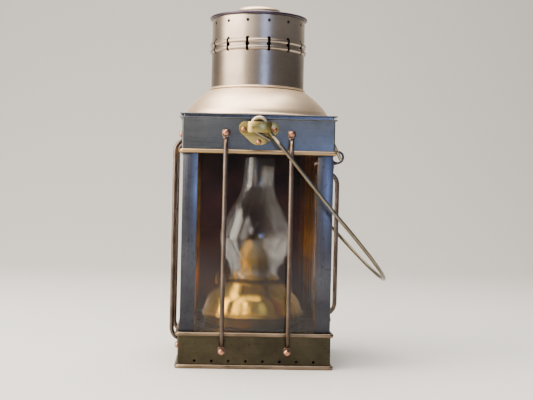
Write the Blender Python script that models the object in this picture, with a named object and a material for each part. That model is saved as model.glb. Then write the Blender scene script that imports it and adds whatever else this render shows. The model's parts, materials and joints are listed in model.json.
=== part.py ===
"""Ship's cargo lantern: a square glazed body with guard bars, a round vented top,
a swinging carrying bail, a hinged side door and a flat-wick oil lamp inside.

Units are metres, +Z is up, -Y is the front and +X is the door side.
The origin is the middle of the base, on the surface the lantern stands on.
"""
import math

import bmesh
import bpy
from mathutils import Matrix, Vector

MM = 0.001
GAP = 0.3 * MM                  # what touching pieces keep between them

# Driving dimensions of the body
BODY_HALF = 77.0 * MM           # outer face of the base and top bands
BAND_WALL = 1.2 * MM
BAND_CORNER = 1.6 * MM          # outside corner radius of the bands
WIRED_EDGE_R = 2.2 * MM         # wire rolled into the edge of a band
WIRED_EDGE_OUT = 0.8 * MM       # how far its centre stands outside the band
BASE_TOP_WIRE_Z = 34.5 * MM
TOP_BAND_WIRE_Z = 218.0 * MM
FLANGE_Z = 251.0 * MM
FLANGE_OUT = 2.5 * MM
ROOF_Z = 254.8 * MM
FLOOR_TOP_Z = 34.0 * MM

# Driving dimensions of the vented top
STACK_R = 49.7 * MM
STACK_WALL = 1.0 * MM
STACK_BOTTOM_Z = 283.2 * MM
STACK_TOP_Z = 361.4 * MM
VENT_COUNT = 14
VENT_SLOT = (3.5 * MM, 14.0 * MM)
VENT_SLOT_Z = 331.0 * MM
VENT_HOLE_R = 1.65 * MM
VENT_HOLE_Z = 355.5 * MM
VENT_EYE_R = 2.3 * MM           # the round eye in the middle of each slot
VENT_SHIFT = math.radians(-2.25)  # how far the ring of vents is turned from even about the front

# Guard bars
BAR_R = 2.35 * MM
BAR_AT = 33.0 * MM              # each side of the middle of its face
BAR_OUT = 85.0 * MM             # centre of the bar from the lantern's axis
BAR_TOP_Z = 236.7 * MM
BAR_BOTTOM_Z = 17.0 * MM
PADDLE = 1.6 * MM

# Carrying bail
PIVOT_Z = 244.5 * MM
BAIL_WIRE_R = 1.95 * MM
BAIL_ANGLE = math.radians(41.4)  # from straight down, towards the door side
BAIL_REACH = 211.0 * MM         # pivot to the top of the bow
BAIL_STRAIGHT = 118.0 * MM      # pivot to the start of the bow
EYE_R = 7.55 * MM
EYE_Y = 83.6 * MM
ARM_Y = 90.0 * MM
BRACKET_T = 1.4 * MM

# Door, on the +X side
DOOR_HALF = 68.0 * MM
DOOR_Z = (38.5 * MM, 212.5 * MM)
HINGE_X = 79.2 * MM
HINGE_Y = 70.6 * MM
HINGE_HEIGHTS = (64.0 * MM, 187.0 * MM)
HASP_X = 81.2 * MM
HASP_Z = 238.0 * MM
HASP_LEAN = math.radians(25.0)

# Oil lamp
SHAFT_Y = 3.65 * MM
SHAFT_Z = 83.6 * MM
CHIMNEY_LEAN = math.radians(2.0)  # towards the door side

ROUND = 24                      # sides of an ordinary turned piece

for old in list(bpy.data.objects):
    bpy.data.objects.remove(old, do_unlink=True)


def finish(name, colour, roughness, metallic, alpha=1.0):
    """One Principled BSDF material."""
    material = bpy.data.materials.new(name)
    material.use_nodes = True
    shader = material.node_tree.nodes["Principled BSDF"]
    shader.inputs["Base Color"].default_value = (*colour, 1.0)
    shader.inputs["Roughness"].default_value = roughness
    shader.inputs["Metallic"].default_value = metallic
    shader.inputs["Alpha"].default_value = alpha
    return material


BRONZED = finish("bronzed_sheet", (0.10, 0.095, 0.095), 0.38, 1.0)
ROOF_BRASS = finish("worn_roof_brass", (0.55, 0.42, 0.32), 0.34, 1.0)
STACK_METAL = finish("brushed_stack", (0.28, 0.23, 0.20), 0.42, 1.0)
BRASS = finish("polished_brass", (0.60, 0.42, 0.16), 0.20, 1.0)
BRACKET_BRASS = finish("brushed_bracket_brass", (0.38, 0.31, 0.13), 0.36, 1.0)
COPPER = finish("copper_rivet", (0.55, 0.27, 0.18), 0.32, 1.0)
BAR_METAL = finish("antiqued_bar", (0.30, 0.22, 0.17), 0.36, 1.0)
GLASS = finish("clear_glass", (0.85, 0.88, 0.88), 0.04, 0.0, 0.3)
COTTON = finish("cotton_wick", (0.72, 0.66, 0.52), 0.9, 0.0)


def mm_points(points):
    """Points in millimetres as points in metres."""
    return [tuple(value * MM for value in point) for point in points]


def new_object(name, mesh_builder, material, smooth=True):
    """Put a finished bmesh into the scene as one named object."""
    mesh = bpy.data.meshes.new(name)
    bmesh.ops.recalc_face_normals(mesh_builder, faces=mesh_builder.faces)
    mesh_builder.to_mesh(mesh)
    mesh_builder.free()
    mesh.materials.append(material)
    if smooth:
        mesh.shade_smooth()
        mesh.set_sharp_from_angle(angle=math.radians(35))
    thing = bpy.data.objects.new(name, mesh)
    bpy.context.scene.collection.objects.link(thing)
    return thing


def combine(target, others, operation):
    """Boolean each hidden helper object into the target."""
    for other in others:
        step = target.modifiers.new(other.name, "BOOLEAN")
        step.object = other
        step.operation = operation
        step.solver = "EXACT"
        other.hide_render = True
        other.display_type = "WIRE"
    return target


def join_rings(build, rings, closed):
    """Skin a list of vertex rings; a ring of one vertex is a pole."""
    pairs = list(zip(rings, rings[1:]))
    if closed:
        pairs.append((rings[-1], rings[0]))
    for lower, upper in pairs:
        count = max(len(lower), len(upper))
        if count == 1:
            continue
        for i in range(count):
            j = (i + 1) % count
            corners = [lower[i % len(lower)], lower[j % len(lower)],
                       upper[j % len(upper)], upper[i % len(upper)]]
            distinct = list(dict.fromkeys(corners))
            build.faces.new(distinct)


def turned(profile, sides=ROUND, closed=True):
    """Turn a profile of (radius, height) points about Z."""
    build = bmesh.new()
    rings = []
    for radius, height in profile:
        if radius < 1e-7:
            rings.append([build.verts.new((0.0, 0.0, height))])
            continue
        rings.append([build.verts.new((radius * math.cos(turn), radius * math.sin(turn), height))
                      for turn in (2 * math.pi * i / sides for i in range(sides))])
    join_rings(build, rings, closed)
    return build


def with_wall(points, wall):
    """Close an open outer profile with its own inner wall, to the left of its run."""
    inner = []
    for i, point in enumerate(points):
        before = Vector(points[max(i - 1, 0)])
        after = Vector(points[min(i + 1, len(points) - 1)])
        along = (after - before).normalized()
        inner.append((max(point[0] - along.y * wall, 0.0), point[1] + along.x * wall))
    return list(points) + inner[::-1]


def square_ring(build, half, corner, height, arc=3):
    """One rounded-square ring of vertices."""
    ring = []
    for quarter in range(4):
        start = quarter * math.pi / 2
        centre = half - corner
        cx = centre if quarter in (0, 3) else -centre
        cy = centre if quarter in (0, 1) else -centre
        for step in range(arc + 1):
            turn = start + step * math.pi / 2 / arc
            ring.append(build.verts.new((cx + corner * math.cos(turn), cy + corner * math.sin(turn), height)))
    return ring


def square_swept(profile, half, corner):
    """Sweep a closed profile of (outward, height) points round a square."""
    build = bmesh.new()
    rings = [square_ring(build, half + out, max(corner + out, 0.4 * MM), height) for out, height in profile]
    join_rings(build, rings, True)
    return build


def box(low, high):
    """A box between two corners."""
    build = bmesh.new()
    bmesh.ops.create_cube(build, size=1.0)
    size = [b - a for a, b in zip(low, high)]
    middle = [(a + b) / 2 for a, b in zip(low, high)]
    bmesh.ops.scale(build, vec=size, verts=build.verts)
    bmesh.ops.translate(build, vec=middle, verts=build.verts)
    return build


def extruded(outline, depth):
    """A flat outline in XY, extruded up by depth."""
    build = bmesh.new()
    lower = [build.verts.new((x, y, 0.0)) for x, y in outline]
    upper = [build.verts.new((x, y, depth)) for x, y in outline]
    build.faces.new(lower)
    build.faces.new(upper)
    join_rings(build, [lower, upper], False)
    return build


def rod(start, end, radius, sides=12, bore=0.0):
    """A round rod, or a tube when it has a bore, between two points."""
    start, end = Vector(start), Vector(end)
    length = (end - start).length
    profile = [(radius, 0.0), (radius, length), (bore, length), (bore, 0.0)]
    build = turned(profile, sides)
    bmesh.ops.transform(build, verts=build.verts, matrix=facing(start, end))
    return build


def facing(start, end):
    """The matrix that stands +Z along the line from start to end."""
    turn = Vector((0.0, 0.0, 1.0)).rotation_difference(Vector(end) - Vector(start))
    return Matrix.Translation(Vector(start)) @ turn.to_matrix().to_4x4()


def wire(points, radius, sides=8, looped=False):
    """A round wire along a list of points."""
    points = [Vector(p) for p in points]
    count = len(points)
    build = bmesh.new()
    rings = []
    normal = None
    for i, point in enumerate(points):
        before = points[i - 1] if looped or i else point
        after = points[(i + 1) % count] if looped or i < count - 1 else point
        along = (after - before).normalized()
        if normal is None:
            normal = along.orthogonal().normalized()
        normal = (normal - along * normal.dot(along)).normalized()
        side = along.cross(normal)
        rings.append([build.verts.new(point + radius * (normal * math.cos(t) + side * math.sin(t)))
                      for t in (2 * math.pi * k / sides for k in range(sides))])
    join_rings(build, rings, looped)
    if not looped:
        build.faces.new(rings[0])
        build.faces.new(rings[-1])
    return build


def group(builds):
    """Several separate shapes in one mesh."""
    whole = bmesh.new()
    for build in builds:
        piece = bpy.data.meshes.new("piece")
        bmesh.ops.recalc_face_normals(build, faces=build.faces)
        build.to_mesh(piece)
        build.free()
        whole.from_mesh(piece)
        bpy.data.meshes.remove(piece)
    return whole


def to_face(build, face):
    """Turn a shape made for the front face onto another face of the body."""
    turns = {"front": 0, "right": 1, "rear": 2, "left": 3}
    bmesh.ops.rotate(build, verts=build.verts, matrix=Matrix.Rotation(turns[face] * math.pi / 2, 3, "Z"))
    return build


def rivet_head(x, z, y_base, radius, height, face="front"):
    """A domed rivet head on one face of the body."""
    profile = [(radius, 0.0), (radius * 0.86, height * 0.55), (radius * 0.5, height * 0.9), (0.0, height), (0.0, 0.0)]
    build = turned(profile, 8, closed=True)
    bmesh.ops.transform(build, verts=build.verts, matrix=facing((x, y_base, z), (x, y_base - 1.0, z)))
    return to_face(build, face)


# ---- Base: band with wired edges and vent holes, and the floor ----

def wired_edge(height, start_degrees, end_degrees, steps):
    """Profile points of a wire rolled into a band's edge."""
    points = []
    for i in range(steps + 1):
        turn = math.radians(start_degrees + (end_degrees - start_degrees) * i / steps)
        points.append((WIRED_EDGE_OUT + WIRED_EDGE_R * math.cos(turn), height + WIRED_EDGE_R * math.sin(turn)))
    return points


def make_base():
    """The base band with its bottom sheet, and the floor plate that the lamp stands on."""
    profile = mm_points([(-0.6, 0.0), (2.0, 0.0), (2.9, 1.0), (3.0, 2.4), (2.3, 3.8), (1.0, 4.4), (0.0, 4.8)])
    profile += [(0.0, BASE_TOP_WIRE_Z - WIRED_EDGE_R)] + wired_edge(BASE_TOP_WIRE_Z, -90, 135, 5)
    profile += [(-BAND_WALL, BASE_TOP_WIRE_Z + 0.6 * MM), (-BAND_WALL, 1.0 * MM)]
    band = new_object("base_band", square_swept(profile, BODY_HALF, BAND_CORNER), BRONZED)
    vent_r, vent_z, pitch, per_side = 1.4 * MM, 7.6 * MM, 17.1 * MM, 8
    places = [(i - (per_side - 1) / 2) * pitch for i in range(per_side)]
    reach = BODY_HALF + 5 * MM
    across = [rod((x, -reach, vent_z), (x, reach, vent_z), vent_r, 6) for x in places]
    along = [rod((-reach, y, vent_z), (reach, y, vent_z), vent_r, 6) for y in places]
    cutters = [new_object("cut_base_vents_y", group(across), BRONZED),
               new_object("cut_base_vents_x", group(along), BRONZED)]
    combine(band, cutters, "DIFFERENCE")

    bottom_half, bottom_sheet = 75.4 * MM, 1.0 * MM
    new_object("bottom_plate", box((-bottom_half, -bottom_half, 0.0), (bottom_half, bottom_half, bottom_sheet)), BRONZED)

    half = 74.2 * MM
    floor_under = FLOOR_TOP_Z - BAND_WALL
    plate = new_object("floor_plate", box((-half, -half, floor_under), (half, half, FLOOR_TOP_Z)), BRONZED)
    collar = turned(mm_points([(52.5, 33.4), (53.3, 33.4), (53.3, 36.4), (52.5, 36.4)]))
    combine(plate, [new_object("join_floor_collar", collar, BRONZED)], "UNION")
    air_hole_r, near, middle, far = 3.0 * MM, 42.0 * MM, 50.0 * MM, 58.0 * MM
    holes = [rod((i * x, j * y, floor_under - 5 * MM), (i * x, j * y, FLOOR_TOP_Z + 5 * MM), air_hole_r, 10)
             for i in (-1, 1) for j in (-1, 1) for x, y in ((near, far), (middle, middle), (far, near))]
    combine(plate, [new_object("cut_floor_air_holes", group(holes), BRONZED)], "DIFFERENCE")


# ---- Posts, inner glass stops, fixed panes and the back sheet ----

def angle_strip(outer, leg, wall, low, high):
    """An L-section strip whose outer corner is at (outer, -outer)."""
    outline = [(outer, -outer), (outer, -outer + leg), (outer - wall, -outer + leg),
               (outer - wall, -outer + wall), (outer - leg, -outer + wall), (outer - leg, -outer)]
    build = extruded(outline, high - low)
    bmesh.ops.translate(build, vec=(0.0, 0.0, low), verts=build.verts)
    return build


def make_frame():
    """Four corner posts outside the panes and four glass stops inside them."""
    corners = {"front_right": "front", "rear_right": "right", "rear_left": "rear", "front_left": "left"}
    for corner, face in corners.items():
        post = angle_strip(75.5 * MM, 15.0 * MM, 1.0 * MM, 12.0 * MM, 243.5 * MM)
        new_object("post_" + corner, to_face(post, face), BRONZED, smooth=False)
        stop = angle_strip(71.9 * MM, 12.0 * MM, 0.8 * MM, FLOOR_TOP_Z + GAP, 240.0 * MM)
        new_object("glass_stop_" + corner, to_face(stop, face), BRASS, smooth=False)


def make_panes():
    """Glass at the front and the left, and a plain sheet at the back."""
    half, low, high = 71.8 * MM, FLOOR_TOP_Z + GAP, 238.0 * MM
    for name, face, material, outer, inner in (
            ("glass_front", "front", GLASS, 74.2 * MM, 72.2 * MM),
            ("glass_left", "left", GLASS, 74.2 * MM, 72.2 * MM),
            ("back_sheet", "rear", BRONZED, 74.2 * MM, 73.2 * MM)):
        pane = box((-half, -outer, low), (half, -inner, high))
        new_object(name, to_face(pane, face), material, smooth=False)


# ---- Top band, roof plate, dome, vent stack and cap ----

def make_top_band():
    """The top band, with a wired lower edge and a turned-out upper flange."""
    profile = wired_edge(TOP_BAND_WIRE_Z, -135, 90, 5) + [(0.0, TOP_BAND_WIRE_Z + WIRED_EDGE_R)]
    profile += [(0.0, FLANGE_Z), (FLANGE_OUT, FLANGE_Z), (FLANGE_OUT, FLANGE_Z + BAND_WALL)]
    profile += [(-BAND_WALL, FLANGE_Z + BAND_WALL), (-BAND_WALL, TOP_BAND_WIRE_Z - 0.6 * MM)]
    new_object("top_band", square_swept(profile, BODY_HALF, BAND_CORNER), BRONZED)


def make_roof():
    """The square roof plate with its collar, and the round dome on it."""
    edge = BODY_HALF + FLANGE_OUT
    roof = new_object("roof_plate", box((-edge, -edge, ROOF_Z), (edge, edge, ROOF_Z + BAND_WALL)), ROOF_BRASS)
    collar = square_swept([(-1.6 * MM, 244.0 * MM), (-1.6 * MM, ROOF_Z + 0.5 * MM),
                           (-2.6 * MM, ROOF_Z + 0.5 * MM), (-2.6 * MM, 244.0 * MM)], BODY_HALF, 4.0 * MM)
    combine(roof, [new_object("join_roof_collar", collar, ROOF_BRASS)], "UNION")
    opening = rod((0.0, 0.0, ROOF_Z - 5 * MM), (0.0, 0.0, ROOF_Z + 5 * MM), 70.0 * MM, 32)
    combine(roof, [new_object("cut_roof_opening", opening, ROOF_BRASS)], "DIFFERENCE")
    dome = mm_points([(78.9, 257.2), (77.4, 259.0), (76.4, 262.5), (73.6, 266.6), (69.7, 270.2),
                      (62.9, 276.7), (57.0, 281.4), (51.6, 285.2)])
    new_object("roof_dome", turned(with_wall(dome, 1.2 * MM), 32), ROOF_BRASS)
    seam = mm_points([(50.0, 285.8), (50.7, 285.9), (51.3, 287.0), (50.7, 288.3), (50.0, 288.4)])
    new_object("stack_seam_ring", turned(seam, 28), STACK_METAL)


def vent_angles():
    """The directions of the vents, counted from the front."""
    return [-math.pi / 2 + VENT_SHIFT + (i + 0.5) * 2 * math.pi / VENT_COUNT for i in range(VENT_COUNT)]


def make_stack():
    """The vent stack with two rolled ribs, slots through them and holes above."""
    outer = mm_points([(49.7, 324.2), (51.4, 326.0), (51.4, 328.8), (50.2, 330.7),
                       (51.4, 332.6), (51.4, 335.6), (49.7, 337.6)])
    inner = STACK_R - STACK_WALL
    profile = [(STACK_R, STACK_BOTTOM_Z)] + outer + [(STACK_R, STACK_TOP_Z), (inner, STACK_TOP_Z),
                                                     (inner, STACK_BOTTOM_Z)]
    stack = new_object("vent_stack", turned(profile, 2 * VENT_COUNT), STACK_METAL)
    slots, holes = [], []
    for turn in vent_angles():
        slot = box((46.5 * MM, -VENT_SLOT[0] / 2, VENT_SLOT_Z - VENT_SLOT[1] / 2),
                   (54.0 * MM, VENT_SLOT[0] / 2, VENT_SLOT_Z + VENT_SLOT[1] / 2))
        hole = rod((46.5 * MM, 0.0, VENT_HOLE_Z), (54.0 * MM, 0.0, VENT_HOLE_Z), VENT_HOLE_R, 6)
        eye = rod((46.5 * MM, 0.0, VENT_SLOT_Z), (54.0 * MM, 0.0, VENT_SLOT_Z), VENT_EYE_R, 8)
        for build in (slot, hole, eye):
            bmesh.ops.rotate(build, verts=build.verts, matrix=Matrix.Rotation(turn, 3, "Z"))
        slots.append(slot)
        holes += [hole, eye]
    combine(stack, [new_object("cut_vent_slots", group(slots), STACK_METAL),
                    new_object("cut_vent_holes", group(holes), STACK_METAL)], "DIFFERENCE")
    baffle = mm_points([(43.2, 350.0), (43.2, 292.2), (47.4, 289.0), (48.2, 289.4), (44.0, 292.6), (44.0, 350.0)])
    new_object("wind_baffle", turned(baffle), BRONZED)


def make_cap():
    """The shallow cap with its rolled rim, and the raised crown on it."""
    cap = mm_points([(0.0, 370.6), (24.0, 370.6), (40.0, 366.8), (51.2, 364.2), (52.3, 363.0), (51.4, 361.8),
                     (47.0, 361.8), (46.4, 363.6), (39.6, 365.4), (23.6, 369.3), (0.0, 369.3)])
    new_object("cap_plate", turned(cap, 32, closed=False), ROOF_BRASS)
    crown = mm_points([(0.0, 375.8), (16.4, 375.3), (20.6, 374.0), (22.0, 372.2), (22.0, 370.9), (0.0, 370.9)])
    new_object("cap_crown", turned(crown, closed=False), ROOF_BRASS)


# ---- Guard bars and their rivets ----

def guard_bar(x, low, high, seat):
    """A bar standing off the front face, flattened and riveted at both ends."""
    def bend(z, way):
        return [(x, -seat - 0.5 * PADDLE, z), (x, -seat - 1.9 * MM, z - way * 6 * MM),
                (x, -BAR_OUT + 1.4 * MM, z - way * 11 * MM), (x, -BAR_OUT, z - way * 15 * MM)]
    path = bend(high - 3 * MM, 1) + bend(low + 3 * MM, -1)[::-1]
    return wire(path, BAR_R, 8)


def make_bar(name, x, low, high, seat, face):
    """One guard bar with its two paddles and the rivet through each."""
    bar = new_object(name, to_face(guard_bar(x, low, high, seat), face), BAR_METAL)
    ends = []
    for end, z in (("top", high), ("bottom", low)):
        paddle = rod((x, -seat + 1.5 * MM, z), (x, -seat - PADDLE, z), 4.1 * MM, 12)
        bmesh.ops.scale(paddle, vec=(1.0, 1.0, 1.25), verts=paddle.verts,
                        space=Matrix.Translation((0.0, 0.0, -z)))
        ends.append(new_object("join_" + name + "_paddle_" + end, to_face(paddle, face), BAR_METAL))
        head = rivet_head(x, z, -seat - 0.5 * PADDLE, 3.5 * MM, 3.4 * MM, face)
        ends.append(new_object("join_" + name + "_rivet_" + end, head, COPPER))
    return combine(bar, ends, "UNION")


def trimmed(bar, seat, face):
    """Cut a bar off flush with the sheet that it is riveted to."""
    cutter = to_face(box((-BODY_HALF, -seat, 0.0), (BODY_HALF, -seat + 12 * MM, 260 * MM)), face)
    return combine(bar, [new_object("cut_" + bar.name, cutter, BAR_METAL)], "DIFFERENCE")


def make_bars():
    """Two bars on the front, two on the left and two on the door."""
    seat = BODY_HALF + GAP
    for name, x, face in (("front_bar_left", -BAR_AT, "front"), ("front_bar_right", BAR_AT, "front"),
                          ("left_bar_rear", -BAR_AT, "left"), ("left_bar_front", BAR_AT, "left")):
        trimmed(make_bar(name, x, BAR_BOTTOM_Z, BAR_TOP_Z, seat, face), seat, face)
    low, high = DOOR_Z[0] + 7 * MM, DOOR_Z[1] - 7 * MM
    for name, x in (("door_bar_front", -BAR_AT), ("door_bar_rear", BAR_AT)):
        trimmed(make_bar(name, x, low, high, seat, "right"), seat, "right")


# ---- Bail brackets and the bail ----

def arc_points(cx, cy, radius, start_degrees, end_degrees, steps):
    """Points along an arc."""
    turns = [math.radians(start_degrees + (end_degrees - start_degrees) * i / steps) for i in range(steps + 1)]
    return [(cx + radius * math.cos(t), cy + radius * math.sin(t)) for t in turns]


def make_bracket(face):
    """A three-lobed bracket plate, the pivot stud and the half-round keeper over it."""
    right = arc_points(13.2, 241.7, 7.0, 85, -50, 6) + arc_points(0.0, 238.0, 13.1, -38, -90, 5)
    left = [(-x, z) for x, z in right[::-1][1:]]
    plate = extruded(mm_points(right + left), BRACKET_T)
    bmesh.ops.rotate(plate, verts=plate.verts, matrix=Matrix.Rotation(math.pi / 2, 3, "X"))
    seat = BODY_HALF + GAP
    bmesh.ops.translate(plate, vec=(0.0, -seat, 0.0), verts=plate.verts)
    bracket = new_object(face + "_bail_bracket", to_face(plate, face), BRACKET_BRASS)
    for i, (x, z) in enumerate(mm_points([(-15.6, 240.5), (15.6, 240.5), (0.0, 228.0)])):
        head = rivet_head(x, z, -seat - 0.5 * BRACKET_T, 2.8 * MM, 3.1 * MM, face)
        combine(bracket, [new_object("join_%s_bracket_rivet_%d" % (face, i + 1), head, COPPER)], "UNION")

    half, thick, edge, rise = 12.25 * MM, 1.3 * MM, 86.0 * MM, 5.4 * MM
    turns = [math.pi * i / 10 for i in range(11)]
    outer = [(half * math.cos(t), -edge - rise * math.sin(t) ** 0.8 if 0 < t < math.pi else -edge) for t in turns]
    inner = [((half - thick) * math.cos(t), -edge - max(rise * math.sin(t) ** 0.8 - thick, 0.0)
              if 0 < t < math.pi else -edge) for t in turns]
    keeper = extruded(outer + inner[::-1], 10.9 * MM)
    bmesh.ops.translate(keeper, vec=(0.0, 0.0, 236.8 * MM), verts=keeper.verts)
    new_object(face + "_bail_keeper", to_face(keeper, face), BRACKET_BRASS)

    stud = rod((0.0, -seat - BRACKET_T - GAP, PIVOT_Z), (0.0, -edge - rise + thick + GAP, PIVOT_Z), 3.0 * MM)
    new_object(face + "_bail_stud", to_face(stud, face), BRACKET_BRASS)


def make_bail():
    """The wire bail: an open eye round each stud, two straight arms and a rounded bow."""
    def place(along, across, y):
        x = along * math.sin(BAIL_ANGLE) + across * math.cos(BAIL_ANGLE)
        z = PIVOT_Z - along * math.cos(BAIL_ANGLE) + across * math.sin(BAIL_ANGLE)
        return Vector((x, y, z))

    tail_turn = math.radians(290.0)
    tail_way = (-math.sin(tail_turn), math.cos(tail_turn))
    tail_root = (EYE_R * math.cos(tail_turn), EYE_R * math.sin(tail_turn))
    half = [(tail_root[0] + reach * tail_way[0], tail_root[1] + reach * tail_way[1], EYE_Y)
            for reach in (17.0 * MM, 8.0 * MM)]
    for along, across in arc_points(0.0, 0.0, EYE_R, 290, 70, 10):
        half.append((along, across, EYE_Y))
    half += [(9.0 * MM, 4.4 * MM, EYE_Y), (15.0 * MM, 3.4 * MM, EYE_Y), (18.0 * MM, 3.2 * MM, EYE_Y + 1.2 * MM),
             (26.0 * MM, 2.9 * MM, ARM_Y - 1.0 * MM), (30.0 * MM, 2.8 * MM, ARM_Y)]
    for over, side in arc_points(0.0, 0.0, 1.0, -90, 0, 10):
        half.append((BAIL_STRAIGHT + (BAIL_REACH - BAIL_STRAIGHT) * over, (0.3 + over) * MM, -ARM_Y * side))
    front = [place(along, across, -y) for along, across, y in half]
    rear = [place(along, across, y) for along, across, y in half[-2::-1]]
    new_object("bail", wire(front + rear, BAIL_WIRE_R, 8), BAR_METAL)


# ---- Door, its hinges and its hasp ----

def picture_frame(x_low, x_high, y_outer, y_inner, z_outer, z_inner):
    """A flat rectangular frame lying in a plane of constant X."""
    build = bmesh.new()
    rings = []
    for x, half, (low, high) in ((x_low, y_outer, z_outer), (x_high, y_outer, z_outer),
                                 (x_high, y_inner, z_inner), (x_low, y_inner, z_inner)):
        rings.append([build.verts.new((x, y, z)) for y, z in ((-half, low), (half, low), (half, high), (-half, high))])
    join_rings(build, rings, True)
    return build


def make_door():
    """The glazed door on the +X side."""
    low, high = DOOR_Z
    frame = picture_frame(75.8 * MM, BODY_HALF, DOOR_HALF, 55.0 * MM, DOOR_Z, (low + 13 * MM, high - 13 * MM))
    new_object("door_frame", frame, BRONZED, smooth=False)
    pane = box((73.6 * MM, -58.5 * MM, low + 9 * MM), (75.5 * MM, 58.5 * MM, high - 9 * MM))
    new_object("door_glass", pane, GLASS, smooth=False)
    stop = picture_frame(72.4 * MM, 73.3 * MM, 59.4 * MM, 54.0 * MM, (low + 8 * MM, high - 8 * MM),
                         (low + 14 * MM, high - 14 * MM))
    new_object("door_glass_stop", stop, BRASS, smooth=False)


def knuckle(z_low, z_high):
    """A hinge knuckle on the door's axis, with a bore for the pin."""
    return rod((HINGE_X, HINGE_Y, z_low), (HINGE_X, HINGE_Y, z_high), 2.2 * MM, 10, bore=1.35 * MM)


def make_hinges():
    """Two butt hinges: a leaf on the post, a leaf on the door and a pin in each."""
    for place, z in zip(("lower", "upper"), HINGE_HEIGHTS):
        post_leaf = new_object("hinge_post_leaf_" + place, box((75.8 * MM, 71.5 * MM, z - 9 * MM),
                                                               (78.2 * MM, 75.3 * MM, z + 9 * MM)), BRASS)
        ends = group([knuckle(z - 9 * MM, z - 3.1 * MM), knuckle(z + 3.1 * MM, z + 9 * MM)])
        combine(post_leaf, [new_object("join_post_knuckles_" + place, ends, BRASS)], "UNION")
        clear = rod((HINGE_X, HINGE_Y, z - 12 * MM), (HINGE_X, HINGE_Y, z + 12 * MM), 1.35 * MM, 10)
        room = rod((HINGE_X, HINGE_Y, z - 3.1 * MM), (HINGE_X, HINGE_Y, z + 3.1 * MM), 2.6 * MM, 10)
        combine(post_leaf, [new_object("cut_post_bore_" + place, clear, BRASS),
                            new_object("cut_post_room_" + place, room, BRASS)], "DIFFERENCE")
        door_leaf = new_object("hinge_door_leaf_" + place, box((BODY_HALF + GAP, 57.0 * MM, z - 9 * MM),
                                                               (BODY_HALF + 1.3 * MM, 67.9 * MM, z + 9 * MM)), BRASS)
        tongue = box((BODY_HALF + GAP, 66.0 * MM, z - 2.8 * MM), (BODY_HALF + 1.3 * MM, 70.2 * MM, z + 2.8 * MM))
        barrel = knuckle(z - 2.8 * MM, z + 2.8 * MM)
        combine(door_leaf, [new_object("join_tongue_" + place, tongue, BRASS),
                            new_object("join_door_knuckle_" + place, barrel, BRASS)], "UNION")
        bore = rod((HINGE_X, HINGE_Y, z - 12 * MM), (HINGE_X, HINGE_Y, z + 12 * MM), 1.35 * MM, 10)
        combine(door_leaf, [new_object("cut_door_bore_" + place, bore, BRASS)], "DIFFERENCE")
        pin = rod((HINGE_X, HINGE_Y, z - 9.8 * MM), (HINGE_X, HINGE_Y, z + 9.8 * MM), 1.0 * MM, 8)
        new_object("hinge_pin_" + place, pin, BRASS)


def make_hasp():
    """The hasp: a bracket on the top band, a forked leaf on its pin, and the staple on the door."""
    bracket = new_object("hasp_bracket", box((BODY_HALF + GAP, -9 * MM, 231 * MM),
                                             (BODY_HALF + 1.8 * MM, 9 * MM, 246 * MM)), BRACKET_BRASS)
    ends = [rod((HASP_X, side * 4.9 * MM, HASP_Z), (HASP_X, side * 9 * MM, HASP_Z), 2.4 * MM, 10, bore=1.35 * MM)
            for side in (-1, 1)]
    webs = [box((BODY_HALF + 1.0 * MM, min(side * 4.9, side * 9) * MM, HASP_Z - 1.2 * MM),
                (HASP_X - 1.6 * MM, max(side * 4.9, side * 9) * MM, HASP_Z + 1.2 * MM)) for side in (-1, 1)]
    combine(bracket, [new_object("join_hasp_webs", group(webs), BRASS),
                      new_object("join_hasp_knuckles", group(ends), BRASS)], "UNION")
    pin = rod((HASP_X, -9.6 * MM, HASP_Z), (HASP_X, 9.6 * MM, HASP_Z), 1.0 * MM, 8)
    new_object("hasp_pin", pin, BRASS)

    outline = mm_points([(-4.6, 1.7), (4.6, 1.7), (4.6, 5.0), (10.0, 7.5), (10.0, 26.4), (6.0, 26.4),
                         (6.0, 15.0), (4.0, 13.0), (-4.0, 13.0), (-6.0, 15.0), (-6.0, 26.4), (-10.0, 26.4),
                         (-10.0, 7.5), (-4.6, 5.0)])
    leaf = extruded(outline, 1.2 * MM)
    bmesh.ops.translate(leaf, vec=(0.0, 0.0, -0.6 * MM), verts=leaf.verts)
    down = Vector((math.sin(HASP_LEAN), 0.0, -math.cos(HASP_LEAN)))
    across = Vector((0.0, 1.0, 0.0))
    out = across.cross(down)
    turn = Matrix((across, down, out)).transposed().to_4x4()
    bmesh.ops.transform(leaf, verts=leaf.verts, matrix=Matrix.Translation((HASP_X, 0.0, HASP_Z)) @ turn)
    plate = new_object("hasp_leaf", leaf, BRACKET_BRASS)
    barrel = rod((HASP_X, -4.6 * MM, HASP_Z), (HASP_X, 4.6 * MM, HASP_Z), 2.4 * MM, 10, bore=1.35 * MM)
    combine(plate, [new_object("join_hasp_barrel", barrel, BRASS)], "UNION")

    centre, ring_r = (88.3 * MM, 217.5 * MM), 6.3 * MM
    loop = [(x, 0.0, z) for x, z in arc_points(*centre, ring_r, 0, 360, 16)[:-1]]
    staple = new_object("door_staple", wire(loop, 1.2 * MM, 8, looped=True), BRACKET_BRASS)
    foot_z = DOOR_Z[1] - 4.6 * MM
    shank = rod((BODY_HALF - 1.0 * MM, 0.0, foot_z), (88.3 * MM, 0.0, 211.2 * MM), 1.5 * MM, 8)
    foot = rod((BODY_HALF - 2.0 * MM, 0.0, foot_z), (BODY_HALF + 1.4 * MM, 0.0, foot_z), 3.8 * MM, 12)
    combine(staple, [new_object("join_staple_shank", shank, BRASS),
                     new_object("join_staple_foot", foot, BRASS)], "UNION")
    trim = box((60 * MM, -8 * MM, 195 * MM), (BODY_HALF + GAP, 8 * MM, 214 * MM))
    combine(staple, [new_object("cut_staple_foot", trim, BRASS)], "DIFFERENCE")


# ---- Oil lamp ----

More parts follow.
